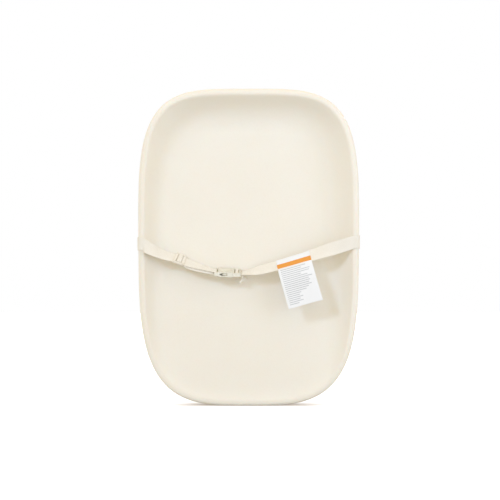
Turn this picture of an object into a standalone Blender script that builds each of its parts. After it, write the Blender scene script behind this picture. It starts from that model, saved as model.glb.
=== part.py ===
"""A one-piece foam changing mat, stood on its foot end, with a webbing strap round its middle.

Run with: blender --background --python part.py

Metres, +Z up. The mat's hollow side faces -Y, its flat back faces +Y, and +X is to the right
of someone who looks at the hollow side. The origin is under the middle of the mat, at the foot.
"""

import math
from collections.abc import Callable
from dataclasses import dataclass

import bmesh
import bpy
from mathutils import Matrix, Vector

MM = 0.001

# The foam mat, seen from the front
MAT_WIDTH = 500 * MM
MAT_LENGTH = 720 * MM
FOOT_FLAT_CUT = 1.2 * MM  # how much the round foot end is cut flat, so that the mat stands
HEAD_SQUARENESS = 4.08  # exponent of the outline's upper half, a superellipse
FOOT_SQUARENESS = 3.48  # and of its lower half

# The foam mat, from its flat back towards the front
HEAD_DEPTH = 108 * MM
FOOT_DEPTH = 50 * MM
FLOOR_DEPTH = 45 * MM
CREST_RISE_POWER = 1.7  # how early the rim's crest climbs from the foot to the head

# The rim's section
BACK_ROUND = 6 * MM
SIDE_DRAFT = 14 * MM  # how far the back's edge lies inside the widest outline
DRAFT_FADE = 130 * MM  # the draft dies out over this height above the foot
DRAFT_POWER = 1.6
CREST_ROUND = 9 * MM
CREST_FLAT = 3.5 * MM
WALL_RUN_HEAD = 78 * MM  # how far the inner wall runs in at the head
WALL_RUN_FOOT = 34 * MM
# (share of the wall's run, share of its height), from the crest down to the floor
WALL_SHARES = (
    (0.0, 1.0),
    (0.035, 0.972),
    (0.075, 0.900),
    (0.13, 0.785),
    (0.2, 0.635),
    (0.3, 0.450),
    (0.42, 0.280),
    (0.56, 0.148),
    (0.72, 0.058),
    (0.87, 0.014),
    (1.0, 0.0),
)
OUTLINE_STEPS = 96
ARC_STEPS = 4
DRAFT_SHARES = (0.2, 0.45, 0.72)  # heights of the outer wall's rings, as shares of the wall

# The webbing
WEBBING_WIDTH = 30 * MM
WEBBING_THICKNESS = 1.4 * MM
SEAT_GAP = 0.3 * MM  # between a piece and what it lies on
STRAP_LEVEL = 373 * MM  # height of the strap where it goes round the sides
STRAP_END_SKEW = 2.4 * MM  # the left end sits this much lower and the right end this much higher
STRAP_STANDOFF = 21.5 * MM  # from the basin's floor to the buckle
BEND_RADIUS = 3 * MM  # where the strap leaves the channel and turns up the side

# The channel across the back, and the two foam bridges that keep the strap in it
BRIDGE_THICKNESS = 3 * MM
BRIDGE_WIDTH = 34 * MM
BRIDGE_SPACING = 250 * MM
TUNNEL_HEIGHT = 3.2 * MM
CHANNEL_SIDE_GAP = 1.5 * MM
CUT_OVERRUN = 20 * MM  # one overrun for every cutter

# The slider, a three-bar glide on the left half of the strap
SLIDER_PLACE_SHARE = 0.314  # of the mat's width, left of the middle
SLIDER_SAG = 37.2 * MM  # below the strap's level
SLIDER_SLOPE = math.radians(18.5)
SLIDER_ROLL = math.radians(56)  # how far its face has turned from the front to the top
SLIDER_BAR = 4.4 * MM
SLIDER_SLOT = 6 * MM
SLIDER_FRAME = 3 * MM  # frame beside the slots
SLIDER_THICKNESS = 2.4 * MM
CENTRE_BAR_THICKNESS = 1.6 * MM
SLOT_SIDE_GAP = 0.7 * MM
SLIDER_EDGE = 0.7 * MM

# The side-release buckle
BUCKLE_PLACE = 36.3 * MM  # its mouth, left of the middle
BUCKLE_SAG = 67.5 * MM
BUCKLE_SLOPE = math.radians(2)
BUCKLE_ROLL = math.radians(76)
BUCKLE_SIDE = 4 * MM  # frame beside the webbing
BUCKLE_EDGE = 0.9 * MM
SOCKET_THICKNESS = 11 * MM
SOCKET_CAVITY_DEPTH = 30 * MM
SOCKET_CAVITY_HEIGHT = 6.4 * MM
SOCKET_WALL = 3.2 * MM
SOCKET_POST = 12 * MM  # side wall between the mouth and the window
SOCKET_END_WALL = 3.5 * MM
SOCKET_SLOT = 4.6 * MM
SOCKET_BAR = 4 * MM
SOCKET_BAR_THICKNESS = 4.4 * MM
SOCKET_RAIL_THICKNESS = 8.4 * MM  # the frame beside the webbing
PLUG_GAP = 0.3 * MM
PLUG_SHOULDER = 3 * MM
PLUG_THICKNESS = 9.4 * MM
PLUG_TONGUE_LENGTH = 19 * MM
PLUG_TONGUE_WIDTH = 5 * MM
PLUG_TONGUE_THICKNESS = 4 * MM
PLUG_SLOT = 4.2 * MM
PLUG_BAR = 3.2 * MM
PLUG_BAR_THICKNESS = 3 * MM
PLUG_RAIL_THICKNESS = 8.6 * MM
PLUG_BAR_RISE = 1.5 * MM  # its bars lie this far above its middle
PRONG_THICKNESS = 5.6 * MM
PRONG_ARM = 2.8 * MM
PRONG_PLACE = 11.2 * MM  # of each prong's root from the buckle's middle line
PRONG_LENGTH = 27 * MM
PRONG_LATCH = 1.6 * MM  # how far a prong's shoulder reaches behind its post
PRONG_LATCH_GAP = 0.4 * MM
PRONG_BUTTON = 7.5 * MM  # depth of the pressed button behind the latch
PRONG_TIP_SHARES = (0.6, 0.9)  # how far in the tip's outer and inner corners lie, of that depth
TAIL_LENGTH = 20 * MM
TAIL_DROOP = math.radians(80)
TAIL_TURN_RADIUS = 4 * MM
TAIL_TWIST = math.radians(35)

# The sewn tag
TAG_PLACE = 102 * MM  # right of the middle
TAG_WIDTH = 79 * MM
TAG_LENGTH = 120.5 * MM
TAG_THICKNESS = 0.8 * MM
TAG_TOP_INSET = 1.5 * MM  # below the strap's upper edge
TAG_LIMP_TILT = math.radians(16)  # just below the strap
TAG_HANG_TILT = math.radians(5)  # at its foot
TAG_BEND_SHARE = 0.3  # of the hanging length that still leans like TAG_LIMP_TILT
TAG_STEPS = 8

# Turn of the strap's face between what holds it: (share of the way, share of the roll)
LEFT_ROLL_SHARES = (  # left rim to slider, of the slider's roll
    (0.0, 0.0),
    (0.12, 0.45),
    (0.3, 0.6),
    (0.6, 0.8),
    (1.0, 1.0),
)
RIGHT_ROLL_SHARES = (  # buckle to right rim, of the buckle's roll
    (0.0, 1.0),
    (0.05, 0.95),
    (0.13, 0.84),
    (0.24, 0.66),
    (0.42, 0.55),
    (0.6, 0.5),
    (0.72, 0.35),
    (0.85, 0.13),
    (1.0, 0.0),
)
CREST_SLOPE_LEFT = math.radians(36)
LEFT_LIFT_SHARE = 0.3  # how much of its way the strap rises as it leaves the left crest
CREST_SLOPE_RIGHT = math.radians(17)
LOOP_SLOPES = (math.radians(14), math.radians(21))  # of its upper and lower layer, at the buckle
NEST_SHARE = 0.9  # how much of the room between their rear edges the loop's layers close
NEST_EASE_SHARE = 0.15  # of the loop, over which they part again at the buckle
# How far a span keeps to its direction at its start and its end, as shares of its length
EVEN_PULL_SHARES = (1.0, 1.0)
RIGHT_PULL_SHARES = (0.4, 0.9)
EASE_SHARE = 0.25  # of a span, over which its edges turn in line with what holds its end
LEFT_EASE_SHARE = 0.22  # the left span twists sooner
SPAN_STEPS = 16
LONG_SPAN_STEPS = 30
TURN_STEPS = 6
CORNER_STEPS = 3
SIDE_STEPS = 11

# Colours, roughness and metal share of each finish
FINISHES = {
    "foam": ((0.90, 0.83, 0.72), 0.55, 0.0),
    "webbing": ((0.88, 0.81, 0.69), 0.85, 0.0),
    "acetal": ((0.80, 0.78, 0.69), 0.35, 0.0),
    "tag": ((0.90, 0.91, 0.92), 0.7, 0.0),
}

HALF_WIDTH = MAT_WIDTH / 2
HALF_LENGTH = (MAT_LENGTH + FOOT_FLAT_CUT) / 2
OUTLINE_CENTRE = HALF_LENGTH - FOOT_FLAT_CUT
BACK_Y = HEAD_DEPTH / 2
SEAT_OFFSET = SEAT_GAP + WEBBING_THICKNESS / 2
LAYER_PITCH = WEBBING_THICKNESS + SEAT_GAP
CHANNEL_DEPTH = BRIDGE_THICKNESS + TUNNEL_HEIGHT
HALF_WEBBING = WEBBING_WIDTH / 2


@dataclass
class Place:
    """A spot on the strap: u runs along it to the right, v to its upper edge, n out of its face."""

    origin: Vector
    u: Vector
    v: Vector
    n: Vector

    def at(self, along, out, across=0.0):
        """The point that far along the strap, out of its face and across it."""
        return self.origin + self.u * along + self.n * out + self.v * across

    def matrix(self):
        """Carries a piece drawn with x along, y across and z out to this place."""
        turned = Matrix((self.u, self.v, self.n)).transposed().to_4x4()
        return Matrix.Translation(self.origin) @ turned


def smooth(share):
    """Eases a share from 0 to 1."""
    share = min(1.0, max(0.0, share))
    return share * share * (3 - 2 * share)


def value_at(table, share):
    """The value part of the way along, from a table of (share of the way, value)."""
    for (a, low), (b, high) in zip(table, table[1:]):
        if share <= b:
            return low + (high - low) * (share - a) / (b - a)
    return table[-1][1]


def place_on_strap(x, z, slope, roll):
    """The strap's frame at a spot in front of the basin's floor."""
    origin = Vector((x, BACK_Y - FLOOR_DEPTH - STRAP_STANDOFF, z))
    u = Vector((math.cos(slope), 0, -math.sin(slope)))
    up = Vector((math.sin(slope), 0, math.cos(slope)))
    front = Vector((0, -1, 0))
    n = front * math.cos(roll) + up * math.sin(roll)
    v = up * math.cos(roll) - front * math.sin(roll)
    return Place(origin, u, v, n)


# The mat's outline and section


def squareness(z):
    """The outline's exponent at a height."""
    return HEAD_SQUARENESS if z >= OUTLINE_CENTRE else FOOT_SQUARENESS


def half_width_at(z):
    """Half the mat's widest width at a height."""
    power = squareness(z)
    share = min(1.0, abs(z - OUTLINE_CENTRE) / HALF_LENGTH)
    return HALF_WIDTH * (1 - share**power) ** (1 / power)


def outline_point(angle):
    """(x, z) on the outline, where the angle steers a superellipse."""
    power = HEAD_SQUARENESS if math.sin(angle) >= 0 else FOOT_SQUARENESS
    across, along = math.cos(angle), math.sin(angle)
    x = math.copysign(abs(across) ** (2 / power), across) * HALF_WIDTH
    z = math.copysign(abs(along) ** (2 / power), along) * HALF_LENGTH
    return Vector((x, z))


def even_outline(steps):
    """Points spaced evenly round the outline, each with its outward normal, as (x, z) pairs."""
    fine = steps * 40
    points = [outline_point(2 * math.pi * i / fine) for i in range(fine)]
    lengths = [0.0]
    for i in range(fine):
        lengths.append(lengths[-1] + (points[(i + 1) % fine] - points[i]).length)
    found = []
    nearest = 0
    for k in range(steps):
        wanted = lengths[-1] * k / steps
        while lengths[nearest + 1] < wanted:
            nearest += 1
        span = lengths[nearest + 1] - lengths[nearest]
        share = (wanted - lengths[nearest]) / span
        here, there = points[nearest], points[(nearest + 1) % fine]
        along = (there - here).normalized()
        found.append((here.lerp(there, share), Vector((along.y, -along.x))))
    return found


def crest_depth(z):
    """How far the rim's crest stands in front of the back at a height."""
    share = min(1.0, max(0.0, z / MAT_LENGTH))
    return FOOT_DEPTH + (HEAD_DEPTH - FOOT_DEPTH) * (1 - (1 - share) ** CREST_RISE_POWER)


def draft(z):
    """How far the back's edge lies inside the outline at a height."""
    return SIDE_DRAFT * smooth(z / DRAFT_FADE)


def arc(centre, radius, start, end, steps):
    """(inset, depth) points on an arc, angles in degrees."""
    turns = [math.radians(start + (end - start) * i / steps) for i in range(steps + 1)]
    return [(centre[0] + radius * math.cos(a), centre[1] + radius * math.sin(a)) for a in turns]


def wall_top(z):
    """How far in front of the back the outer wall turns into the crest."""
    return crest_depth(z) - CREST_ROUND


def wall_inset(z, depth):
    """How far the drafted outer wall lies inside the outline, that far in front of the back."""
    share = (depth - BACK_ROUND) / (wall_top(z) - BACK_ROUND)
    return draft(z) * max(0.0, 1 - share) ** DRAFT_POWER


def outer_wall(z, shares):
    """(inset, depth) points up the outer wall."""
    depths = [BACK_ROUND + (wall_top(z) - BACK_ROUND) * share for share in shares]
    return [(wall_inset(z, depth), depth) for depth in depths]


def crest_arc(z, offset=0.0):
    """(inset, depth) points over the outer edge of the crest, offset outwards."""
    centre = (CREST_ROUND, wall_top(z))
    return arc(centre, CREST_ROUND + offset, 180, 90, ARC_STEPS)


def section(z):
    """(inset, depth) points from the back's edge, up the outer wall, over the crest and down to the floor."""
    back = arc((draft(z) + BACK_ROUND, BACK_ROUND), BACK_ROUND, 270, 180, ARC_STEPS)
    crest = crest_depth(z)
    height = crest - FLOOR_DEPTH
    fullness = height / (HEAD_DEPTH - FLOOR_DEPTH)
    run = WALL_RUN_FOOT + (WALL_RUN_HEAD - WALL_RUN_FOOT) * fullness
    start = CREST_ROUND + CREST_FLAT
    wall = [(start + run * along, FLOOR_DEPTH + height * up) for along, up in WALL_SHARES]
    return back + outer_wall(z, DRAFT_SHARES) + crest_arc(z) + wall


# Mesh tools


def make_material(name):
    """A plain finish for a piece."""
    colour, roughness, metallic = FINISHES[name]
    material = bpy.data.materials.get(name) or bpy.data.materials.new(name)
    material.use_nodes = True
    shader = material.node_tree.nodes["Principled BSDF"]
    shader.inputs["Base Color"].default_value = (*colour, 1.0)
    shader.inputs["Roughness"].default_value = roughness
    shader.inputs["Metallic"].default_value = metallic
    return material


def add_object(name, mesh, collection, finish=None, matrix=None):
    """Puts a mesh in a collection under a name."""
    obj = bpy.data.objects.new(name, mesh)
    collection.objects.link(obj)
    if finish:
        mesh.materials.append(make_material(finish))
        mesh.shade_smooth()
        mesh.set_sharp_from_angle(angle=math.radians(35))
    if matrix is not None:
        obj.matrix_world = matrix
    return obj


def sweep(rows, closed):
    """Extrudes the first row of points through the others and returns the open bmesh."""
    bm = bmesh.new()
    front = [bm.verts.new(point) for point in rows[0]]
    ends = len(front) if closed else len(front) - 1
    edges = [bm.edges.new((front[i], front[(i + 1) % len(front)])) for i in range(ends)]
    for row in rows[1:]:
        made = bmesh.ops.extrude_edge_only(bm, edges=edges)["geom"]
        fresh = {item for item in made if isinstance(item, bmesh.types.BMVert)}
        front = [next(e.other_vert(v) for e in v.link_edges if e.other_vert(v) in fresh) for v in front]
        edges = [e for e in made if isinstance(e, bmesh.types.BMEdge) and set(e.verts) <= fresh]
        for vertex, point in zip(front, row):
            vertex.co = point
    return bm


def finish_bmesh(bm, name):
    """Turns a bmesh into a mesh with its faces pointing out."""
    bmesh.ops.recalc_face_normals(bm, faces=bm.faces)
    mesh = bpy.data.meshes.new(name)
    bm.to_mesh(mesh)
    bm.free()
    return mesh


def add_ribbon(name, rows, collection, thickness, finish):
    """A band of cloth: each row is a point on its lower edge and one on its upper edge."""
    ribbon = add_object(name, finish_bmesh(sweep(rows, closed=False), name), collection, finish)
    solid = ribbon.modifiers.new("thickness", "SOLIDIFY")
    solid.thickness = thickness
    solid.offset = 0
    solid.use_even_offset = True
    return ribbon


def add_box(name, low, high, collection, matrix=None):
    """A cuboid between two corners."""
    bm = bmesh.new()
    bmesh.ops.create_cube(bm, size=1)
    size = [high[k] - low[k] for k in range(3)]
    middle = [(high[k] + low[k]) / 2 for k in range(3)]
    bmesh.ops.scale(bm, vec=size, verts=bm.verts)
    bmesh.ops.translate(bm, vec=middle, verts=bm.verts)
    return add_object(name, finish_bmesh(bm, name), collection, matrix=matrix)


def add_cutter(name, low, high, cutters, matrix=None):
    """A box that only cuts."""
    cutter = add_box(name, low, high, cutters, matrix)
    cutter.hide_render = True
    cutter.display_type = "WIRE"
    return cutter


def boolean(obj, other, operation="DIFFERENCE"):
    """Cuts or joins another object."""
    modifier = obj.modifiers.new(f"{operation.lower()} {other.name}", "BOOLEAN")
    modifier.object = other
    modifier.operation = operation
    modifier.solver = "EXACT"


def add_plate(name, outline, half_thickness, collection, matrix, finish, edge=0.0, on_side=False):
    """A flat outline with thickness. On its side, the outline is (along, out) and is extruded across."""
    curve = bpy.data.curves.new(name, "CURVE")
    curve.dimensions = "2D"
    curve.fill_mode = "BOTH"
    curve.extrude = half_thickness
    spline = curve.splines.new("POLY")
    spline.points.add(len(outline) - 1)
    for point, (x, y) in zip(spline.points, outline):
        point.co = (x, y, 0, 1)
    spline.use_cyclic_u = True
    drawn = bpy.data.objects.new(name + "_outline", curve)
    mesh = bpy.data.meshes.new_from_object(drawn)
    bpy.data.objects.remove(drawn)
    bm = bmesh.new()
    bm.from_mesh(mesh)
    bpy.data.meshes.remove(mesh)
    bmesh.ops.remove_doubles(bm, verts=bm.verts, dist=SEAT_GAP / 100)
    if on_side:
        bmesh.ops.rotate(bm, matrix=Matrix.Rotation(math.pi / 2, 3, "X"), verts=bm.verts)
    plate = add_object(name, finish_bmesh(bm, name), collection, finish, matrix)
    if edge:
        bevel = plate.modifiers.new("soft edges", "BEVEL")
        bevel.width = edge
        bevel.segments = 2
        bevel.limit_method = "ANGLE"
    return plate


# Sub-parts


def add_mat(parts, cutters):
    """The foam body: rings lofted from the back's edge to the edge of the floor, and the strap's channel."""
    outline = even_outline(OUTLINE_STEPS)
    heights = [OUTLINE_CENTRE + point.y for point, _ in outline]
    sections = [section(z) for z in heights]
    rows = []
    for ring in range(len(sections[0])):
        row = []
        for (point, normal), height, points in zip(outline, heights, sections):
            inset, depth = points[ring]
            x = point.x - normal.x * inset
            z = height - normal.y * inset
            row.append(Vector((x, BACK_Y - depth, max(z, 0.0))))
        rows.append(row)
    bm = sweep(rows, closed=True)
    bmesh.ops.holes_fill(bm, edges=[e for e in bm.edges if e.is_boundary], sides=0)
    mat = add_object("mat_body", finish_bmesh(bm, "mat_body"), parts, "foam")
    for cutter in channel_cutters(cutters):
        boolean(mat, cutter)
    return mat


def channel_cutters(cutters):
    """The tunnel across the whole back, and the open stretches between the bridges."""
    side = HALF_WEBBING + CHANNEL_SIDE_GAP
    low, high = STRAP_LEVEL - side, STRAP_LEVEL + side
    reach = HALF_WIDTH + CUT_OVERRUN
    deep, roof = BACK_Y - CHANNEL_DEPTH, BACK_Y - BRIDGE_THICKNESS
    inner, outer = (BRIDGE_SPACING - BRIDGE_WIDTH) / 2, (BRIDGE_SPACING + BRIDGE_WIDTH) / 2
    spans = (("left", -reach, -outer), ("middle", -inner, inner), ("right", outer, reach))
    made = [add_cutter("cut_tunnel", (-reach, deep, low), (reach, roof, high), cutters)]
    for name, start, end in spans:
        corner = (start, deep, low)
        made.append(add_cutter(f"cut_channel_{name}", corner, (end, BACK_Y + CUT_OVERRUN, high), cutters))
    return made


def side_route(z):
    """(x, depth) points of the strap on the right side at a height, from the channel to the crest."""
    half = half_width_at(z)
    centre = (half - draft(z), CHANNEL_DEPTH - SEAT_OFFSET + BEND_RADIUS)
    turn = arc(centre, BEND_RADIUS, -90, 0, ARC_STEPS)
    climb = wall_top(z) - centre[1]
    up = []
    for i in range(1, SIDE_STEPS + 1):
        depth = centre[1] + climb * i / SIDE_STEPS
        up.append((max(half - wall_inset(z, depth) + SEAT_OFFSET, centre[0] + BEND_RADIUS), depth))
    over = [(half - inset, depth) for inset, depth in crest_arc(z, SEAT_OFFSET)[1:]]
    return turn + up + over


def crest_end(sign):
    """(lower, upper) edge points where the strap lies on the middle of the crest, on one side."""
    centre = STRAP_LEVEL + sign * STRAP_END_SKEW
    ends = []
    for z in (centre - HALF_WEBBING, centre + HALF_WEBBING):
        x = sign * (half_width_at(z) - CREST_ROUND - CREST_FLAT / 2)
        ends.append(Vector((x, BACK_Y - crest_depth(z) - SEAT_OFFSET, z)))
    return ends


def side_edge(sign, edge):
    """Points of one edge of the strap on one side; it leans up or down on its way to the crest."""
    level = STRAP_LEVEL + edge * HALF_WEBBING
    last = len(side_route(level)) - 1
    points = []
    for i in range(last + 1):
        z = level + sign * STRAP_END_SKEW * smooth(i / last)
        x, depth = side_route(z)[i]
        points.append(Vector((sign * x, BACK_Y - depth, z)))
    return points


def add_back_strap(parts):
    """The webbing from crest to crest, down the sides and through the channel in the back."""
    left, right = (
        list(zip(side_edge(sign, -1), side_edge(sign, 1))) + [crest_end(sign)] for sign in (-1, 1)
    )
    return add_ribbon("strap_back", left[::-1] + right, parts, WEBBING_THICKNESS, "webbing")


def hermite(start, start_way, end, end_way, steps, pulls):
    """Points on a smooth curve between two points, leaving and arriving along the given directions."""
    length = (end - start).length
    start_way, end_way = start_way * length * pulls[0], end_way * length * pulls[1]
    found = []
    for i in range(steps + 1):
        s = i / steps
        s2, s3 = s * s, s * s * s
        found.append(
            start * (2 * s3 - 3 * s2 + 1)
            + start_way * (s3 - 2 * s2 + s)
            + end * (3 * s2 - 2 * s3)
            + end_way * (s3 - s2)
        )
    return found


def rows_between(points, ways):
    """Edge pairs along a route: ways are the directions to the upper edge at its points."""
    return [(p - w * HALF_WEBBING, p + w * HALF_WEBBING) for p, w in zip(points, ways)]


def square_to(direction, way):
    """The part of a direction that is square to a way, at length 1."""
    return (direction - way * direction.dot(way)).normalized()


@dataclass
class Drape:
    """How a free span hangs: its edge's turn, its pull at both ends and its ease there."""

    turn: Callable[[float, Vector], Vector] | None = None
    pulls: tuple[float, float] = EVEN_PULL_SHARES
    ease: float = EASE_SHARE
    steps: int = SPAN_STEPS


def span_rows(start, end, edges, ways, drape=Drape()):
    """Edge pairs of a free span whose upper edge turns from one direction to another."""
    steps = drape.steps
    points = hermite(start, ways[0], end, ways[1], steps, drape.pulls)
    start_edge, end_edge = edges
    made = []
    for i in range(steps + 1):
        before, after = points[max(i - 1, 0)], points[min(i + 1, steps)]
        along = (after - before).normalized()
        share = i / steps
        if drape.turn:
            edge = drape.turn(share, along)
        else:
            edge = square_to(start_edge.lerp(end_edge, smooth(share)), along)
        near_start = start_edge.lerp(edge, smooth(share / drape.ease))
        made.append(end_edge.lerp(near_start, smooth((1 - share) / drape.ease)).normalized())
    return rows_between(points, made)


def turned(shares, roll):
    """How a span's edge turns, from shares of a roll: a function of the way's share and direction."""

    def edge(share, along):
        """The direction to the upper edge."""
        angle = roll * value_at(shares, share)
        front = square_to(Vector((0, -1, 0)), along)
        up = front.cross(along).normalized()
        return up * math.cos(angle) - front * math.sin(angle)

    return edge


def crest_start(sign):
    """(point, direction to the upper edge) where the front span begins on the crest."""
    lower, upper = crest_end(sign)
    return (lower + upper) / 2, (upper - lower).normalized()


def slider_place():
    """The slider's frame, at the middle of its plate."""
    return place_on_strap(-MAT_WIDTH * SLIDER_PLACE_SHARE, STRAP_LEVEL - SLIDER_SAG, SLIDER_SLOPE, SLIDER_ROLL)


def buckle_place():
    """The buckle's frame, at the middle of the socket's mouth."""
    return place_on_strap(-BUCKLE_PLACE, STRAP_LEVEL - BUCKLE_SAG, BUCKLE_SLOPE, BUCKLE_ROLL)


def level_under_slider():
    """How far the webbing's middle lies under the slider's plate."""
    return -(SLIDER_THICKNESS / 2 + SEAT_OFFSET)


def slider_joint():
    """Where the webbing is divided, under the middle of each outer bar."""
    return SLIDER_BAR + SLIDER_SLOT


def add_left_strap(parts, slider):
    """From the left crest to the slider."""
    start, edge = crest_start(-1)
    slope = CREST_SLOPE_LEFT
    leave = Vector((math.cos(slope), -LEFT_LIFT_SHARE, -math.sin(slope))).normalized()
    start = start + leave * SEAT_GAP
    end = slider.at(-slider_joint() - SEAT_GAP, level_under_slider())
    drape = Drape(turned(LEFT_ROLL_SHARES, SLIDER_ROLL), ease=LEFT_EASE_SHARE)
    rows = span_rows(start, end, (edge, slider.v), (leave, slider.u), drape)
    return add_ribbon("strap_left", rows, parts, WEBBING_THICKNESS, "webbing")


def bend(place, centre, radius, start, end, steps=TURN_STEPS):
    """Points round a bend, centre given as (along, out), angles in degrees from u towards n."""
    return [place.at(along, out) for along, out in arc(centre, radius, start, end, steps)]


def round_bar(place, middle, half_bar, half_thick, layer, start, end):
    """Points clockwise round the corners of a bar, from one angle in degrees down to another."""
    radius = SEAT_OFFSET + layer * LAYER_PITCH
    points = []
    for corner in range(start, end, -90):
        side = 1 if corner in (90, 0) else -1
        face = 1 if corner in (180, 90) else -1
        centre = (middle + side * half_bar, face * half_thick)
        points += bend(place, centre, radius, corner, corner - 90, CORNER_STEPS)
    return points


def add_slider_webbing(parts, slider):
    """What the slider holds: the webbing over its centre bar, and the sewn end round that bar."""
    under = level_under_slider()
    half_bar, half_thick = SLIDER_BAR / 2, CENTRE_BAR_THICKNESS / 2
    leg = half_bar + SEAT_OFFSET + LAYER_PITCH
    small = SEAT_OFFSET
    points = [slider.at(-slider_joint(), under)]
    points += bend(slider, (-leg - small, under + small), small, -90, 0, CORNER_STEPS)
    points += round_bar(slider, 0, half_bar, half_thick, 1, 180, 0)
    points += bend(slider, (leg + small, under + small), small, 180, 270, CORNER_STEPS)
    points.append(slider.at(slider_joint(), under))
    rows = rows_between(points, [slider.v] * len(points))
    weave = add_ribbon("strap_weave", rows, parts, WEBBING_THICKNESS, "webbing")
    lower = under - LAYER_PITCH
    leg = half_bar + SEAT_OFFSET
    points = [slider.at(slider_joint(), lower)]
    points += bend(slider, (-leg + small, lower + small), small, 270, 180, CORNER_STEPS)
    points += round_bar(slider, 0, half_bar, half_thick, 0, 180, 0)
    points.append(slider.at(leg, under))
    rows = rows_between(points, [slider.v] * len(points))
    sewn_end = add_ribbon("strap_end", rows, parts, WEBBING_THICKNESS, "webbing")
    return weave, sewn_end


def socket_bar_middle():
    """How far along the buckle the middle of the socket's webbing bar is."""
    return -(SOCKET_CAVITY_DEPTH + SOCKET_END_WALL + SOCKET_SLOT + SOCKET_BAR / 2)


def nested(lower, upper):
    """The loop's lower layer, with its rear edge raised towards the upper layer's."""
    made = []
    for i, ((front, rear), (_, above)) in enumerate(zip(lower, upper)):
        room = above - rear
        share = NEST_SHARE * smooth((1 - i / (len(lower) - 1)) / NEST_EASE_SHARE)
        raised = rear + room * (share * max(0.0, 1 - LAYER_PITCH / room.length))
        made.append((front, front + (raised - front).normalized() * WEBBING_WIDTH))
    return made


def add_loop_strap(parts, slider, buckle):
    """From the slider to the buckle's bar, round it, and back to the slider below the first layer."""
    middle = socket_bar_middle()
    half_bar, half_thick = SOCKET_BAR / 2, SOCKET_BAR_THICKNESS / 2
    out = half_thick + SEAT_OFFSET
    start = slider.at(slider_joint() + SEAT_GAP, level_under_slider())
    over = buckle.at(middle - half_bar, out)
    upper_way, lower_way = (Vector((math.cos(slope), 0, -math.sin(slope))) for slope in LOOP_SLOPES)
    there = span_rows(start, over, (slider.v, buckle.v), (slider.u, upper_way))
    turn = round_bar(buckle, middle, half_bar, half_thick, 0, 90, -90)
    under = buckle.at(middle - half_bar, -out)
    end = slider.at(slider_joint() + SEAT_GAP, level_under_slider() - LAYER_PITCH)
    lower = nested(span_rows(end, under, (slider.v, buckle.v), (slider.u, lower_way)), there)
    rows = there + rows_between(turn, [buckle.v] * len(turn)) + lower[::-1]
    return add_ribbon("strap_loop", rows, parts, WEBBING_THICKNESS, "webbing")


def add_slider(parts, cutters, slider):
    """The three-bar glide."""
    half_length = SLIDER_BAR * 1.5 + SLIDER_SLOT
    half_slot = HALF_WEBBING + SLOT_SIDE_GAP
    half_width = half_slot + SLIDER_FRAME
    outline = rounded_rectangle(half_length, half_width, SLIDER_FRAME)
    matrix = slider.matrix()
    glide = add_plate(
        "slider", outline, SLIDER_THICKNESS / 2, parts, matrix, "acetal", edge=SLIDER_EDGE
    )
    for name, sign in (("left", -1), ("right", 1)):
        near, far = SLIDER_BAR / 2, SLIDER_BAR / 2 + SLIDER_SLOT
        ends = sorted((sign * near, sign * far))
        low = (ends[0], -half_slot, -CUT_OVERRUN)
        high = (ends[1], half_slot, CUT_OVERRUN)
        boolean(glide, add_cutter(f"cut_slider_{name}", low, high, cutters, matrix))
    for name, sign in (("above", 1), ("below", -1)):
        levels = sorted((sign * CENTRE_BAR_THICKNESS / 2, sign * CUT_OVERRUN))
        reach = SLIDER_BAR / 2 + SLIDER_SLOT / 2
        low = (-reach, -half_slot, levels[0])
        high = (reach, half_slot, levels[1])
        boolean(glide, add_cutter(f"cut_slider_{name}", low, high, cutters, matrix))
    return glide


def rounded_rectangle(half_x, half_y, radius):
    """Outline points of a rectangle with round corners."""
    corners = ((1, 1, 0), (-1, 1, 90), (-1, -1, 180), (1, -1, 270))
    points = []
    for x, y, start in corners:
        centre = (x * (half_x - radius), y * (half_y - radius))
        points += arc(centre, radius, start, start + 90, ARC_STEPS)
    return points


def buckle_half_width():
    """Half the width of both halves of the buckle."""
    return HALF_WEBBING + SLOT_SIDE_GAP + BUCKLE_SIDE


def add_socket(parts, cutters, buckle):
    """The buckle's socket: a sleeve with a window in each side, and a bar for the webbing."""
    half = SOCKET_THICKNESS / 2
    rail = SOCKET_RAIL_THICKNESS / 2
    sleeve_end = -(SOCKET_CAVITY_DEPTH + SOCKET_END_WALL / 2)
    bar_end = socket_bar_middle() - SOCKET_BAR / 2
    neck = -(SOCKET_CAVITY_DEPTH + SOCKET_END_WALL)
    outline = [(0, -half), (0, half), (sleeve_end, half), (neck, rail), (bar_end, rail)]
    outline += [(bar_end, -rail), (neck, -rail), (sleeve_end, -half)]
    matrix = buckle.matrix()
    width = buckle_half_width()
    socket = add_plate(
        "buckle_socket", outline, width, parts, matrix, "acetal", edge=BUCKLE_EDGE, on_side=True
    )
    inside = width - SOCKET_WALL
    high = SOCKET_CAVITY_HEIGHT / 2
    deep = -SOCKET_CAVITY_DEPTH
    half_slot = HALF_WEBBING + SLOT_SIDE_GAP
    slot_end = neck - SOCKET_SLOT
    cuts = {
        "cavity": ((deep, -inside, -high), (CUT_OVERRUN, inside, high)),
        "windows": ((deep, -width - CUT_OVERRUN, -high), (-SOCKET_POST, width + CUT_OVERRUN, high)),
        "slot": ((slot_end, -half_slot, -CUT_OVERRUN), (neck, half_slot, CUT_OVERRUN)),
    }
    for name, (low, top) in cuts.items():
        boolean(socket, add_cutter(f"cut_socket_{name}", low, top, cutters, matrix))
    bar = SOCKET_BAR_THICKNESS / 2
    cut_recess(socket, (bar_end - CUT_OVERRUN, neck), (-bar, bar), cutters, matrix)
    return socket


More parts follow.
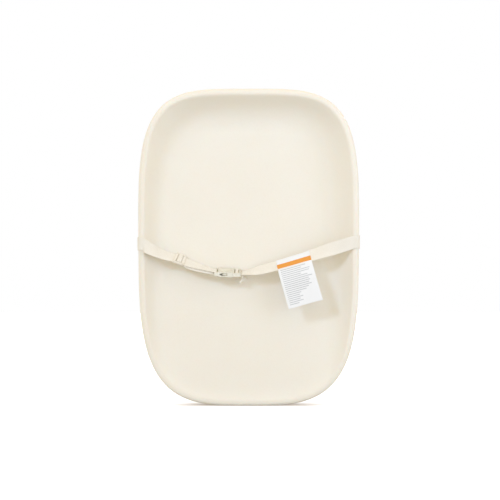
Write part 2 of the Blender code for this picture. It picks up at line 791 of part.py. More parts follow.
def cut_recess(piece, span, bar_levels, cutters, matrix):
    """Thins a buckle's webbing bars, below and above, between the rails beside them."""
    half_slot = HALF_WEBBING + SLOT_SIDE_GAP
    for name, level, past in zip(("below", "above"), bar_levels, (-CUT_OVERRUN, CUT_OVERRUN)):
        levels = sorted((level, past))
        low, high = (span[0], -half_slot, levels[0]), (span[1], half_slot, levels[1])
        boolean(piece, add_cutter(f"cut_{piece.name}_{name}", low, high, cutters, matrix))


def plug_bars():
    """How far along the buckle the plug's first slot starts, and each bar's middle."""
    start = PLUG_GAP + PLUG_SHOULDER
    first = start + PLUG_SLOT + PLUG_BAR / 2
    second = first + PLUG_BAR + PLUG_SLOT
    return start, first, second


def bars_place(buckle):
    """The buckle's frame, moved out to the middle of the plug's bars."""
    return Place(buckle.at(0, PLUG_BAR_RISE), buckle.u, buckle.v, buckle.n)


def add_plug(parts, cutters, buckle):
    """The buckle's plug: a shoulder with a guide tongue, and a ladder of two bars for the webbing."""
    start, first, second = plug_bars()
    half = PLUG_THICKNESS / 2
    rail = PLUG_RAIL_THICKNESS / 2
    end = second + PLUG_BAR / 2
    outline = [(PLUG_GAP, -half), (PLUG_GAP, half), (start - PLUG_SHOULDER / 2, half), (start, rail)]
    outline += [(end, rail), (end, -rail), (start, -rail), (start - PLUG_SHOULDER / 2, -half)]
    matrix = buckle.matrix()
    plug = add_plate(
        "buckle_plug", outline, buckle_half_width(), parts, matrix, "acetal", edge=BUCKLE_EDGE, on_side=True
    )
    wide, thick = PLUG_TONGUE_WIDTH / 2, PLUG_TONGUE_THICKNESS / 2
    low, high = (-PLUG_TONGUE_LENGTH, -wide, -thick), (start - PLUG_SHOULDER / 2, wide, thick)
    tongue = add_cutter("join_tongue", low, high, cutters, matrix)
    boolean(plug, tongue, "UNION")
    half_slot = HALF_WEBBING + SLOT_SIDE_GAP
    for name, middle in (("first", first), ("second", second)):
        ends = (middle - PLUG_BAR / 2 - PLUG_SLOT, middle - PLUG_BAR / 2)
        low = (ends[0], -half_slot, -CUT_OVERRUN)
        high = (ends[1], half_slot, CUT_OVERRUN)
        boolean(plug, add_cutter(f"cut_plug_{name}", low, high, cutters, matrix))
    bar_levels = (PLUG_BAR_RISE - PLUG_BAR_THICKNESS / 2, PLUG_BAR_RISE + PLUG_BAR_THICKNESS / 2)
    cut_recess(plug, (start, end + CUT_OVERRUN), bar_levels, cutters, matrix)
    return plug


def prong_outline():
    """(along, across) points of the prong on the upper side, its root round about the origin."""
    arm = PRONG_ARM / 2
    post = SOCKET_POST + PRONG_LATCH_GAP - arm
    tip = PRONG_LENGTH - arm
    inner_wall = buckle_half_width() - SOCKET_WALL
    latch = inner_wall + PRONG_LATCH - PRONG_PLACE
    outer, inner = (latch - PRONG_BUTTON * share for share in PRONG_TIP_SHARES)
    root = arc((0, 0), arm, -90, 90, ARC_STEPS)
    back = -post - PRONG_BUTTON
    button = [(-post, arm), (-post, latch), (back, latch), (-tip, outer)]
    inside = [(-tip, inner), (back, -arm), (-post, -arm)]
    return root + button + inside


def add_prongs(parts, buckle):
    """The plug's two springy prongs, each on its own living hinge."""
    outline = prong_outline()
    made = []
    for name, side in (("prong_rear", 1), ("prong_front", -1)):
        points = [(x, side * y) for x, y in outline]
        root = Matrix.Translation((-PRONG_ARM / 2, side * PRONG_PLACE, 0))
        matrix = buckle.matrix() @ root
        made.append(add_plate(name, points, PRONG_THICKNESS / 2, parts, matrix, "acetal"))
    return made


def add_tail(parts, buckle):
    """The webbing's end, woven round the plug's first bar, with its free tail hanging."""
    _, first, second = plug_bars()
    half_bar, half_thick = PLUG_BAR / 2, PLUG_BAR_THICKNESS / 2
    under = -(half_thick + SEAT_OFFSET)
    lower = under - LAYER_PITCH
    small = SEAT_OFFSET
    leg = half_bar + SEAT_OFFSET
    bars = bars_place(buckle)
    points = [bars.at(second, under)]
    points += bend(bars, (first + leg + small, under + small), small, 270, 180, CORNER_STEPS)
    points += round_bar(bars, first, half_bar, half_thick, 0, 90, 0)[::-1]
    points += round_bar(bars, first, half_bar, half_thick, 0, 180, 90)[::-1]
    points += bend(bars, (first - leg + small, lower + small), small, 180, 270, CORNER_STEPS)
    droop = math.degrees(TAIL_DROOP)
    centre = (second + half_bar, lower - TAIL_TURN_RADIUS)
    points += bend(bars, centre, TAIL_TURN_RADIUS, 90, 90 - droop)
    way = buckle.u * math.cos(TAIL_DROOP) - buckle.n * math.sin(TAIL_DROOP)
    rows = rows_between(points, [buckle.v] * len(points))
    hanging = TAIL_LENGTH - TAIL_TURN_RADIUS * TAIL_DROOP
    for i in range(1, TURN_STEPS + 1):
        share = i / TURN_STEPS
        edge = Matrix.Rotation(TAIL_TWIST * smooth(share), 3, way) @ buckle.v
        rows += rows_between([points[-1] + way * (hanging * share)], [edge])
    return add_ribbon("strap_tail", rows, parts, WEBBING_THICKNESS, "webbing")


def right_rows(buckle):
    """Edge pairs of the strap from the plug to the right crest."""
    _, _, second = plug_bars()
    under = -(PLUG_BAR_THICKNESS / 2 + SEAT_OFFSET)
    start = bars_place(buckle).at(second + SEAT_GAP, under)
    end, edge = crest_start(1)
    arrive = Vector((math.cos(CREST_SLOPE_RIGHT), 0, math.sin(CREST_SLOPE_RIGHT)))
    end = end - arrive * SEAT_GAP
    turn = turned(RIGHT_ROLL_SHARES, BUCKLE_ROLL)
    drape = Drape(turn, pulls=RIGHT_PULL_SHARES, steps=LONG_SPAN_STEPS)
    return span_rows(start, end, (buckle.v, edge), (buckle.u, arrive), drape)


def add_right_strap(parts, buckle):
    """From the plug to the right crest."""
    return add_ribbon("strap_right", right_rows(buckle), parts, WEBBING_THICKNESS, "webbing")


def strap_row_at(rows, x):
    """The strap's edge pair at a distance right of the middle, measured at its centre line."""
    middles = [(low + high) / 2 for low, high in rows]
    for i in range(len(rows) - 1):
        if middles[i].x <= x <= middles[i + 1].x:
            share = (x - middles[i].x) / (middles[i + 1].x - middles[i].x)
            lower = rows[i][0].lerp(rows[i + 1][0], share)
            upper = rows[i][1].lerp(rows[i + 1][1], share)
            return lower, upper
    return rows[-1]


def tag_rows(buckle):
    """Rows of points down the tag at steps across its width: over the strap's face, then hanging."""
    rows = right_rows(buckle)
    first = strap_row_at(rows, TAG_PLACE - TAG_WIDTH / 2)
    last = strap_row_at(rows, TAG_PLACE + TAG_WIDTH / 2)
    along = ((last[0] + last[1]) - (first[0] + first[1])).normalized()
    front = square_to(Vector((0, -1, 0)), along)
    down = along.cross(front).normalized()
    seat = SEAT_GAP + (WEBBING_THICKNESS + TAG_THICKNESS) / 2
    on_strap = WEBBING_WIDTH - TAG_TOP_INSET
    hanging = TAG_LENGTH - on_strap
    made = []
    for i in range(TAG_STEPS + 1):
        x = TAG_PLACE + TAG_WIDTH * along.x * (i / TAG_STEPS - 0.5)
        lower, upper = strap_row_at(rows, x)
        fall = (lower - upper).normalized()
        out = square_to(along.cross(-fall), along) * seat
        top = upper + fall * TAG_TOP_INSET + out
        brink = lower + out
        limp = down * math.cos(TAG_LIMP_TILT) + front * math.sin(TAG_LIMP_TILT)
        knee = brink + limp * (hanging * TAG_BEND_SHARE)
        hang = down * math.cos(TAG_HANG_TILT) + front * math.sin(TAG_HANG_TILT)
        foot = knee + hang * (hanging * (1 - TAG_BEND_SHARE))
        made.append((top, top.lerp(brink, 0.5), brink, knee, foot))
    return made


def add_tag(parts, buckle):
    """The cloth tag, sewn along its top edge to the strap."""
    return add_ribbon("tag", tag_rows(buckle), parts, TAG_THICKNESS, "tag")


def clear_scene():
    """Removes what Blender starts with."""
    for obj in list(bpy.data.objects):
        bpy.data.objects.remove(obj)


def main():
    """Builds the mat and its strap."""
    clear_scene()
    parts = bpy.data.collections.new("changing_mat")
    cutters = bpy.data.collections.new("cutters")
    for collection in (parts, cutters):
        bpy.context.scene.collection.children.link(collection)
    slider, buckle = slider_place(), buckle_place()
    add_mat(parts, cutters)
    add_back_strap(parts)
    add_left_strap(parts, slider)
    add_slider_webbing(parts, slider)
    add_slider(parts, cutters, slider)
    add_loop_strap(parts, slider, buckle)
    add_socket(parts, cutters, buckle)
    add_plug(parts, cutters, buckle)
    add_prongs(parts, buckle)
    add_tail(parts, buckle)
    add_right_strap(parts, buckle)
    add_tag(parts, buckle)


main()
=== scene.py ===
"""The changing mat as in its photograph: foam tray, webbing strap, slider, buckle and sewn tag.

Metres, +Z up. The tray's hollow side faces -Y and its flat back +Y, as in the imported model.
"""

import logging
import math
from dataclasses import dataclass
from enum import Enum
from typing import Callable, Sequence

import bmesh
import bpy
from mathutils import Matrix, Vector


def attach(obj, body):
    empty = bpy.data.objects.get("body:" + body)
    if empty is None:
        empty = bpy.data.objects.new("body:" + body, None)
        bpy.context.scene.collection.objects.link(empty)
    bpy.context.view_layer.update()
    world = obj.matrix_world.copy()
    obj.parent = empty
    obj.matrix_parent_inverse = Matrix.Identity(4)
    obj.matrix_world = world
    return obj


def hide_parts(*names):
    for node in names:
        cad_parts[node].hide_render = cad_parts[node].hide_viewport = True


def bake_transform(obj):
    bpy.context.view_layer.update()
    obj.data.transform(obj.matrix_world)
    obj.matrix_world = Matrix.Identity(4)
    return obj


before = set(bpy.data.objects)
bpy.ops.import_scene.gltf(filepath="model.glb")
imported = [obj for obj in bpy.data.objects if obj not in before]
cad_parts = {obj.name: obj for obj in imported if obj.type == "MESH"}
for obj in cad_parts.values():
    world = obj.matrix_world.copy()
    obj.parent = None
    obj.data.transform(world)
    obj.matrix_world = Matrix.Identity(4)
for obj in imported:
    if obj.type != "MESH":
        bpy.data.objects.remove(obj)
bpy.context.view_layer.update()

Piece = bpy.types.Object
Material = bpy.types.Material
Socket = bpy.types.NodeSocket
Pair = tuple[float, float]
Triple = tuple[float, float, float]
Colour = Triple
Spot = tuple[float, float, float, float]
Row = list[Vector]
RollTable = tuple[Pair, ...]

MM = 0.001
REPORT = logging.getLogger("changing_mat")
WHITE = (1.0, 1.0, 1.0)
FRONT, ALONG = Vector((0, -1, 0)), Vector((1, 0, 0))
FACING = 0.99  # the cosine above which a face or an edge looks one way
CLOSE = MM / 10  # how near to a level a face counts as lying on it


class Body(Enum):
    """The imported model's bodies that pieces ride on."""

    MAT = "mat"
    ADJUSTER = "adjuster"
    PLUG = "plug"
    REAR_PRONG = "rear_prong"
    FRONT_PRONG = "front_prong"
    TAG = "tag"


class Slot(Enum):
    """The record's material slots."""

    FOAM = "foam"
    WEBBING = "webbing"
    ACETAL = "acetal"
    TAG = "tag"


class Hold(Enum):
    """How a sheet of cloth is held."""

    HUNG = "hung"
    STRETCHED = "stretched"
    FOLDED = "folded"


@dataclass(frozen=True)
class Place:
    """A spot on the strap: u runs along it to the right, v to its upper edge, n out of its face."""

    origin: Vector
    u: Vector
    v: Vector
    n: Vector

    def at(self, along: float, out: float) -> Vector:
        """The point that far along the strap and out of its face."""
        return self.origin + self.u * along + self.n * out

    def matrix(self) -> Matrix:
        """Carries a piece drawn with x along, y across and z out to this place."""
        turned = Matrix((self.u, self.v, self.n)).transposed().to_4x4()
        return Matrix.Translation(self.origin) @ turned


def smooth(share: float) -> float:
    """Eases a share from 0 to 1."""
    share = min(1.0, max(0.0, share))
    return share * share * (3 - 2 * share)


def arc(centre: Pair, radius: float, start: float, end: float, steps: int) -> list[Pair]:
    """Points on an arc.

    Args:
        centre: its middle.
        radius: its radius.
        start: the first angle, in degrees.
        end: the last angle, in degrees.
        steps: how many chords it has.

    Returns:
        The points, both ends included.
    """
    turns = [math.radians(start + (end - start) * i / steps) for i in range(steps + 1)]
    return [(centre[0] + radius * math.cos(a), centre[1] + radius * math.sin(a)) for a in turns]


def falling(degrees: float) -> Vector:
    """The direction to the right that falls by an angle."""
    angle = math.radians(degrees)
    return Vector((math.cos(angle), 0, -math.sin(angle)))


# Modelling, as by hand


def select_only(piece: Piece) -> None:
    """Makes one object the active one, with nothing else selected."""
    bpy.ops.object.select_all(action="DESELECT")
    piece.select_set(True)
    bpy.context.view_layer.objects.active = piece


def started(name: str) -> Piece:
    """Names the object that was just made."""
    piece = bpy.context.object
    piece.name = name
    piece.data.name = name
    return piece


def added(name: str, add: Callable[..., object], **settings: object) -> Piece:
    """Adds a primitive with nothing else selected, and names it.

    Args:
        name: the new piece's name.
        add: the operator that adds it.
        settings: the operator's settings, by name.

    Returns:
        The new piece.
    """
    bpy.ops.object.select_all(action="DESELECT")
    add(**settings)
    return started(name)


def shaped(piece: Piece, kind: str, **settings: object) -> None:
    """Adds a modifier to a piece and applies it.

    Args:
        piece: the piece.
        kind: the modifier's type.
        settings: its settings, by name.
    """
    select_only(piece)
    modifier = piece.modifiers.new(kind.lower(), kind)
    for key, value in settings.items():
        setattr(modifier, key, value)
    bpy.ops.object.modifier_apply(modifier=modifier.name)


def pull_through(piece: Piece, front: list[int], rings: Sequence[Row]) -> list[list[int]]:
    """Extrudes a line of selected edges from ring to ring, in edit mode.

    Args:
        piece: the piece, in edit mode with the line's edges selected.
        front: the indices of the line's vertices, in order.
        rings: where each further line's vertices go.

    Returns:
        The indices of every line's vertices, the first line included.
    """
    lines = [front]
    for ring in rings:
        bpy.ops.mesh.extrude_edges_move()
        mesh = bmesh.from_edit_mesh(piece.data)
        mesh.verts.ensure_lookup_table()
        fresh = []
        for index, point in zip(lines[-1], ring):
            vertex = mesh.verts[index]
            ahead = next(e.other_vert(vertex) for e in vertex.link_edges if e.other_vert(vertex).select)
            ahead.co = point
            fresh.append(ahead.index)
        bmesh.update_edit_mesh(piece.data)
        lines.append(fresh)
    return lines


def outward(piece: Piece) -> None:
    """Turns a piece's faces to point out."""
    select_only(piece)
    bpy.ops.object.mode_set(mode="EDIT")
    bpy.ops.mesh.select_all(action="SELECT")
    bpy.ops.mesh.normals_make_consistent(inside=False)
    bpy.ops.object.mode_set(mode="OBJECT")


def softened(piece: Piece, degrees: float = 35.0) -> None:
    """Shades a piece smooth, apart from edges sharper than an angle."""
    select_only(piece)
    bpy.ops.object.shade_smooth_by_angle(angle=math.radians(degrees))


def rounded(piece: Piece, width: float, segments: int = 3, degrees: float = 40.0) -> None:
    """Rounds a piece's edges that are sharper than an angle."""
    limit = math.radians(degrees)
    shaped(piece, "BEVEL", width=width, segments=segments, limit_method="ANGLE", angle_limit=limit)


def settled(piece: Piece, place: Place) -> None:
    """Carries a piece drawn about the origin to its place on the strap, into its mesh."""
    select_only(piece)
    piece.matrix_world = place.matrix()
    bpy.ops.object.transform_apply(location=True, rotation=True, scale=True)


def block(name: str, low: Sequence[float], high: Sequence[float]) -> Piece:
    """A cuboid between two corners, to be shaped further."""
    middle = [(a + b) / 2 for a, b in zip(low, high)]
    size = [b - a for a, b in zip(low, high)]
    piece = added(name, bpy.ops.mesh.primitive_cube_add, size=1, location=middle, scale=size)
    bpy.ops.object.transform_apply(location=True, rotation=True, scale=True)
    return piece


def pick(piece: Piece, kind: str, wanted: Callable[[bmesh.types.BMFace | bmesh.types.BMEdge], bool]) -> None:
    """Opens a piece in edit mode with only the wanted faces or edges selected.

    Args:
        piece: the piece.
        kind: FACE or EDGE.
        wanted: says which of them are.
    """
    select_only(piece)
    bpy.ops.object.mode_set(mode="EDIT")
    bpy.ops.mesh.select_mode(type=kind)
    bpy.ops.mesh.select_all(action="DESELECT")
    mesh = bmesh.from_edit_mesh(piece.data)
    for part in mesh.faces if kind == "FACE" else mesh.edges:
        part.select_set(wanted(part))
    mesh.select_flush_mode()
    bmesh.update_edit_mesh(piece.data)


def drawn_on(piece: Piece, way: Vector, distance: float, squeeze: Vector = Vector((1, 1, 1))) -> None:
    """Extrudes the face that faces one way, and squeezes its new end about the piece's middle line.

    Args:
        piece: the piece, drawn about the origin.
        way: which way the face looks.
        distance: how far it is extruded.
        squeeze: the new end's size, as shares of the old along x, y and z.
    """
    level = max(v.co.dot(way) for v in piece.data.vertices)
    pick(piece, "FACE", lambda f: f.normal.dot(way) > FACING and abs(f.calc_center_median().dot(way) - level) < CLOSE)
    bpy.ops.mesh.extrude_region_move(TRANSFORM_OT_translate={"value": way * distance})
    mesh = bmesh.from_edit_mesh(piece.data)
    for vertex in (v for v in mesh.verts if v.select):
        vertex.co = Vector(a * b for a, b in zip(vertex.co, squeeze))
    bmesh.update_edit_mesh(piece.data)
    bpy.ops.object.mode_set(mode="OBJECT")


def carved(piece: Piece, cutter: Piece, operation: str = "DIFFERENCE") -> None:
    """Cuts one piece out of another, or joins it on, and removes it."""
    shaped(piece, "BOOLEAN", object=cutter, operation=operation, solver="EXACT")
    bpy.data.objects.remove(cutter)


def cut_across(piece: Piece, name: str, along: Pair, half: float, levels: Pair) -> None:
    """Cuts a box out of a piece that is drawn about the origin.

    Args:
        piece: the piece.
        name: what the box is for.
        along: where it starts and ends along the piece.
        half: how far it reaches to either side.
        levels: its underside and top.
    """
    carved(piece, block(name, (along[0], -half, levels[0]), (along[1], half, levels[1])))


# Materials


class NodeSketch:
    """One material, or the surround, while its nodes are laid out."""

    def __init__(self, owner: str | bpy.types.World, shader: str = "Principled BSDF") -> None:
        """Starts on a new material of that name, or on a surround.

        Args:
            owner: the new material's name, or the surround.
            shader: the name of the shader that the results go to.
        """
        self.material = bpy.data.materials.new(owner) if isinstance(owner, str) else owner
        self.material.use_nodes = True
        self.nodes = self.material.node_tree.nodes
        self.links = self.material.node_tree.links
        self.shader = self.nodes[shader]

    def put(self, socket: Socket, value: object) -> None:
        """Links a result to a socket or sets its value, a colour without its alpha."""
        if isinstance(value, Socket):
            self.links.new(value, socket)
        else:
            socket.default_value = (*value, 1.0) if socket.type == "RGBA" else value

    def feed(self, **values: object) -> None:
        """Gives the shader's sockets results or values, spaces written as underscores."""
        for key, value in values.items():
            self.put(self.shader.inputs[key.replace("_", " ")], value)

    def node(self, kind: str, inputs: dict | None = None, **settings: object) -> bpy.types.Node:
        """Adds a node.

        Args:
            kind: its type.
            inputs: values or sockets, by the name or number of its inputs.
            settings: its own settings, by name.

        Returns:
            The node.
        """
        node = self.nodes.new(kind)
        for key, value in settings.items():
            setattr(node, key, value)
        for key, value in (inputs or {}).items():
            self.put(node.inputs[key], value)
        return node

    def math(self, operation: str, *values: object, clamp: bool = False) -> Socket:
        """A Math node's result."""
        return self.node("ShaderNodeMath", dict(enumerate(values)), operation=operation, use_clamp=clamp).outputs[0]

    def wave(self, value: object, period: float) -> Socket:
        """A sine wave over a value."""
        return self.math("SINE", self.math("MULTIPLY", value, math.tau / period))

    def between(self, value: Socket, low: object, high: object) -> Socket:
        """1 where a value is between two others, else 0."""
        above = self.math("GREATER_THAN", value, low)
        return self.math("MULTIPLY", above, self.math("LESS_THAN", value, high))

    def coords(self, kind: str = "Object") -> Socket:
        """Where a point is, in the object unless another kind is named."""
        return self.node("ShaderNodeTexCoord").outputs[kind]

    def split(self, kind: str) -> tuple[Socket, Socket]:
        """A point's first two coordinates, such as how far along and across the cloth it is."""
        parts = self.node("ShaderNodeSeparateXYZ", {0: self.coords(kind)}).outputs
        return parts[0], parts[1]

    def noise(self, scale: float, detail: float = 2.0) -> Socket:
        """Soft noise from 0 to 1, with that many features a metre."""
        inputs = {"Vector": self.coords(), "Scale": scale, "Detail": detail}
        return self.node("ShaderNodeTexNoise", inputs).outputs[0]

    def ramp(self, value: Socket, reach: Pair, levels: Pair = (0.0, 1.0)) -> Socket:
        """Spreads a value's reach over levels, clamped."""
        return self.node("ShaderNodeMapRange", dict(enumerate((value, *reach, *levels))), clamp=True).outputs[0]

    def patches(self, noise: Pair, reach: Pair, levels: Pair = (0.0, 1.0)) -> Socket:
        """Soft patches: noise of a scale and detail, with its reach spread over levels."""
        return self.ramp(self.noise(*noise), reach, levels)

    def mix(self, share: object, first: object, second: object) -> Socket:
        """A colour between two colours."""
        return self.node("ShaderNodeMix", {0: share, 6: first, 7: second}, data_type="RGBA").outputs[2]

    def seen(self) -> Socket:
        """1 for rays from the camera, in gloss and through glass, which see a white background."""
        rays = self.node("ShaderNodeLightPath").outputs
        straight = self.math("MAXIMUM", rays["Is Camera Ray"], rays["Is Glossy Ray"])
        return self.math("MAXIMUM", straight, rays["Is Transmission Ray"])

    def bump(self, height: Socket, relief: Pair, under: Socket | None = None) -> Socket:
        """A normal roughened by a height map.

        Args:
            height: the map, from 0 to 1.
            relief: how deep 0 lies under 1, in metres, and how much of it shows.
            under: a normal that it comes on top of.

        Returns:
            The roughened normal.
        """
        inputs = {"Height": height, "Distance": relief[0], "Strength": relief[1]}
        if under:
            inputs["Normal"] = under
        return self.node("ShaderNodeBump", inputs).outputs[0]


@dataclass(frozen=True)
class FoamSkin:
    """The mat's moulded polyurethane skin: satin, with a fine leathery grain."""

    cream: Colour = (0.870, 0.822, 0.722)
    deep_cream: Colour = (0.842, 0.782, 0.672)
    clouds: Pair = (7.0, 4.0)
    cloud_reach: Pair = (0.38, 0.68)
    specks: Pair = (250.0, 3.0)
    speck_reach: Pair = (0.45, 0.75)
    dark_levels: Pair = (0.0, 0.35)
    sheen: Pair = (42.0, 3.0)
    sheen_reach: Pair = (0.3, 0.7)
    roughness: Pair = (0.46, 0.58)
    grain: float = 1500.0
    grain_relief: Pair = (0.05 * MM, 0.6)
    dimples: float = 60.0
    dimple_relief: Pair = (0.35 * MM, 0.5)
    specular: float = 0.35
    scatter: float = 0.2
    scatter_reach: float = 8 * MM
    scatter_shares: Colour = (1.0, 0.62, 0.42)

    def build(self) -> Material:
        """Lays out the material."""
        sketch = NodeSketch("foam_skin")
        cloud = sketch.patches(self.clouds, self.cloud_reach, self.dark_levels)
        speck = sketch.patches(self.specks, self.speck_reach, self.dark_levels)
        share = sketch.math("ADD", cloud, speck, clamp=True)
        grain = {"Vector": sketch.coords(), "Scale": self.grain}
        cells = sketch.node("ShaderNodeTexVoronoi", grain, feature="SMOOTH_F1")
        dimples = sketch.bump(sketch.noise(self.dimples), self.dimple_relief)
        sketch.feed(
            Base_Color=sketch.mix(share, self.cream, self.deep_cream),
            Roughness=sketch.patches(self.sheen, self.sheen_reach, self.roughness),
            Normal=sketch.bump(cells.outputs["Distance"], self.grain_relief, dimples),
            Specular_IOR_Level=self.specular,
            Subsurface_Weight=self.scatter,
            Subsurface_Scale=self.scatter_reach,
            Subsurface_Radius=self.scatter_shares,
        )
        return sketch.material


@dataclass(frozen=True)
class Weave:
    """Polyester webbing: warp ribs with a plain weave, a firmer selvedge, and painted shade in the weave's low parts.
    """

    light: Colour = (0.90, 0.855, 0.765)
    # painted shade: the colour that the weave's low parts, between the threads, are painted
    gap: Colour = (0.76, 0.70, 0.585)
    warp: float = 1.25 * MM
    weft: float = 1.5 * MM
    relief: Pair = (0.22 * MM, 0.8)
    width: float = 30 * MM
    selvedge: float = 1.6 * MM
    selvedge_drop: float = 0.45
    crossing: Pair = (0.55, 0.45)
    shade: Pair = (-0.8, 0.72)
    wear: Pair = (45.0, 4.0)
    wear_reach: Pair = (0.35, 0.7)
    wear_levels: Pair = (0.0, 0.22)
    fibre: float = 4000.0
    fibre_relief: Pair = (0.044 * MM, 0.5)

    def build(self) -> Material:
        """Lays out the material."""
        sketch = NodeSketch("strap_webbing")
        along, across = sketch.split("UV")
        rib = sketch.math("DIVIDE", across, self.warp)
        step = sketch.math("MULTIPLY", sketch.math("FLOOR", rib), 0.5)
        phase = sketch.math("ADD", sketch.math("DIVIDE", along, self.weft), step)
        over = sketch.math("MULTIPLY_ADD", sketch.wave(phase, 1.0), 0.5, 0.5)
        ridge = sketch.wave(sketch.math("FRACT", rib), 2.0)
        height = sketch.math("MULTIPLY", ridge, sketch.math("MULTIPLY_ADD", over, *self.crossing))
        band = sketch.math("LESS_THAN", sketch.math("PINGPONG", across, self.width / 2), self.selvedge)
        height = sketch.math("MULTIPLY", height, sketch.math("MULTIPLY_ADD", band, -self.selvedge_drop, 1.0))
        worn = sketch.patches(self.wear, self.wear_reach, self.wear_levels)
        # painted shade: the lower the weave, the more of the gap's painted shade it takes; worn patches take some off
        share = sketch.math("SUBTRACT", sketch.math("MULTIPLY_ADD", height, *self.shade), worn, clamp=True)
        fibre = sketch.bump(sketch.noise(self.fibre), self.fibre_relief)
        sketch.feed(
            Base_Color=sketch.mix(share, self.light, self.gap),
            Normal=sketch.bump(height, self.relief, fibre),
            Roughness=0.78,
            Specular_IOR_Level=0.3,
            Sheen_Weight=0.25,
            Sheen_Roughness=0.4,
        )
        return sketch.material


@dataclass(frozen=True)
class MouldedAcetal:
    """The slider's and buckle's moulded plastic, a warm greyish white."""

    name: str = "buckle_acetal"
    body: Colour = (0.80, 0.77, 0.655)
    dull: Colour = (0.755, 0.72, 0.60)
    clouds: Pair = (90.0, 4.0)
    cloud_reach: Pair = (0.35, 0.7)
    sheen: Pair = (260.0, 3.0)
    sheen_reach: Pair = (0.3, 0.7)
    roughness: Pair = (0.30, 0.42)
    flow: Pair = (140.0, 1.0)
    flow_relief: Pair = (0.12 * MM, 0.4)
    texture: float = 2600.0
    texture_relief: Pair = (0.02 * MM, 0.5)

    def build(self) -> Material:
        """Lays out the material."""
        sketch = NodeSketch(self.name)
        flow = sketch.bump(sketch.noise(*self.flow), self.flow_relief)
        sketch.feed(
            Base_Color=sketch.mix(sketch.patches(self.clouds, self.cloud_reach), self.body, self.dull),
            Roughness=sketch.patches(self.sheen, self.sheen_reach, self.roughness),
            Normal=sketch.bump(sketch.noise(self.texture), self.texture_relief, flow),
            Specular_IOR_Level=0.5,
        )
        return sketch.material


@dataclass(frozen=True)
class TagCloth:
    """The tag's white satin tape, with a plain band and plain grey rules."""

    white: Colour = (0.86, 0.862, 0.86)
    band: Colour = (0.80, 0.32, 0.05)
    rule: Colour = (0.40, 0.41, 0.42)
    width: float = 79 * MM
    band_span: Pair = (13.5 * MM, 25.5 * MM)
    rules_span: Pair = (30 * MM, 113 * MM)
    pitch: float = 4.5 * MM
    rule_height: float = 1.9 * MM
    rule_share: float = 0.64
    margin: float = 5 * MM
    shortest: float = 0.62
    short_from: float = 88 * MM
    short_drop: float = 0.45
    thread: float = 0.45 * MM
    thread_relief: Pair = (0.05 * MM, 0.5)
    creases: float = 35.0
    crease_relief: Pair = (0.8 * MM, 0.35)

    def ruled(self, sketch: NodeSketch, across: Socket, down: Socket) -> Socket:
        """1 on the rules, which end at chance places, else 0."""
        line = sketch.math("DIVIDE", sketch.math("SUBTRACT", down, self.rules_span[0]), self.pitch)
        ink = sketch.math("LESS_THAN", sketch.math("FRACT", line), self.rule_height / self.pitch)
        row = {"W": sketch.math("FLOOR", line)}
        chance = sketch.node("ShaderNodeTexWhiteNoise", row, noise_dimensions="1D").outputs["Value"]
        end = sketch.ramp(chance, (0.0, 1.0), (self.width * self.shortest, self.width - self.margin))
        short = sketch.math("GREATER_THAN", down, self.short_from)
        end = sketch.math("MULTIPLY", end, sketch.math("MULTIPLY_ADD", short, -self.short_drop, 1.0))
        inside = sketch.math("MULTIPLY", ink, sketch.between(across, self.margin, end))
        return sketch.math("MULTIPLY", inside, sketch.between(down, *self.rules_span))

    def build(self) -> Material:
        """Lays out the material."""
        sketch = NodeSketch("tag_satin")
        across, down = sketch.split("UV")
        ruled = sketch.math("MULTIPLY", self.ruled(sketch, across, down), self.rule_share)
        paper = sketch.mix(ruled, self.white, self.rule)
        threads = sketch.math("MULTIPLY", sketch.wave(across, self.thread), sketch.wave(down, self.thread))
        weave = sketch.math("MULTIPLY_ADD", threads, 0.5, 0.5)
        creases = sketch.bump(sketch.noise(self.creases), self.crease_relief)
        sketch.feed(
            Base_Color=sketch.mix(sketch.between(down, *self.band_span), paper, self.band),
            Normal=sketch.bump(weave, self.thread_relief, creases),
            Roughness=0.55,
            Specular_IOR_Level=0.35,
            Sheen_Weight=0.1,
        )
        return sketch.material


@dataclass(frozen=True)
class Thread:
    """The tag's sewing thread."""

    colour: Colour = (0.90, 0.88, 0.82)
    shade: float = 0.8
    twist: float = 2500.0
    relief: Pair = (0.05 * MM, 1.0)

    def build(self) -> Material:
        """Lays out the material."""
        sketch = NodeSketch("sewing_thread")
        twist = sketch.noise(self.twist)
        dark = tuple(c * self.shade for c in self.colour)
        sketch.feed(
            Base_Color=sketch.mix(twist, self.colour, dark),
            Normal=sketch.bump(twist, self.relief),
            Roughness=0.6,
            Sheen_Weight=0.2,
        )
        return sketch.material


# The mat


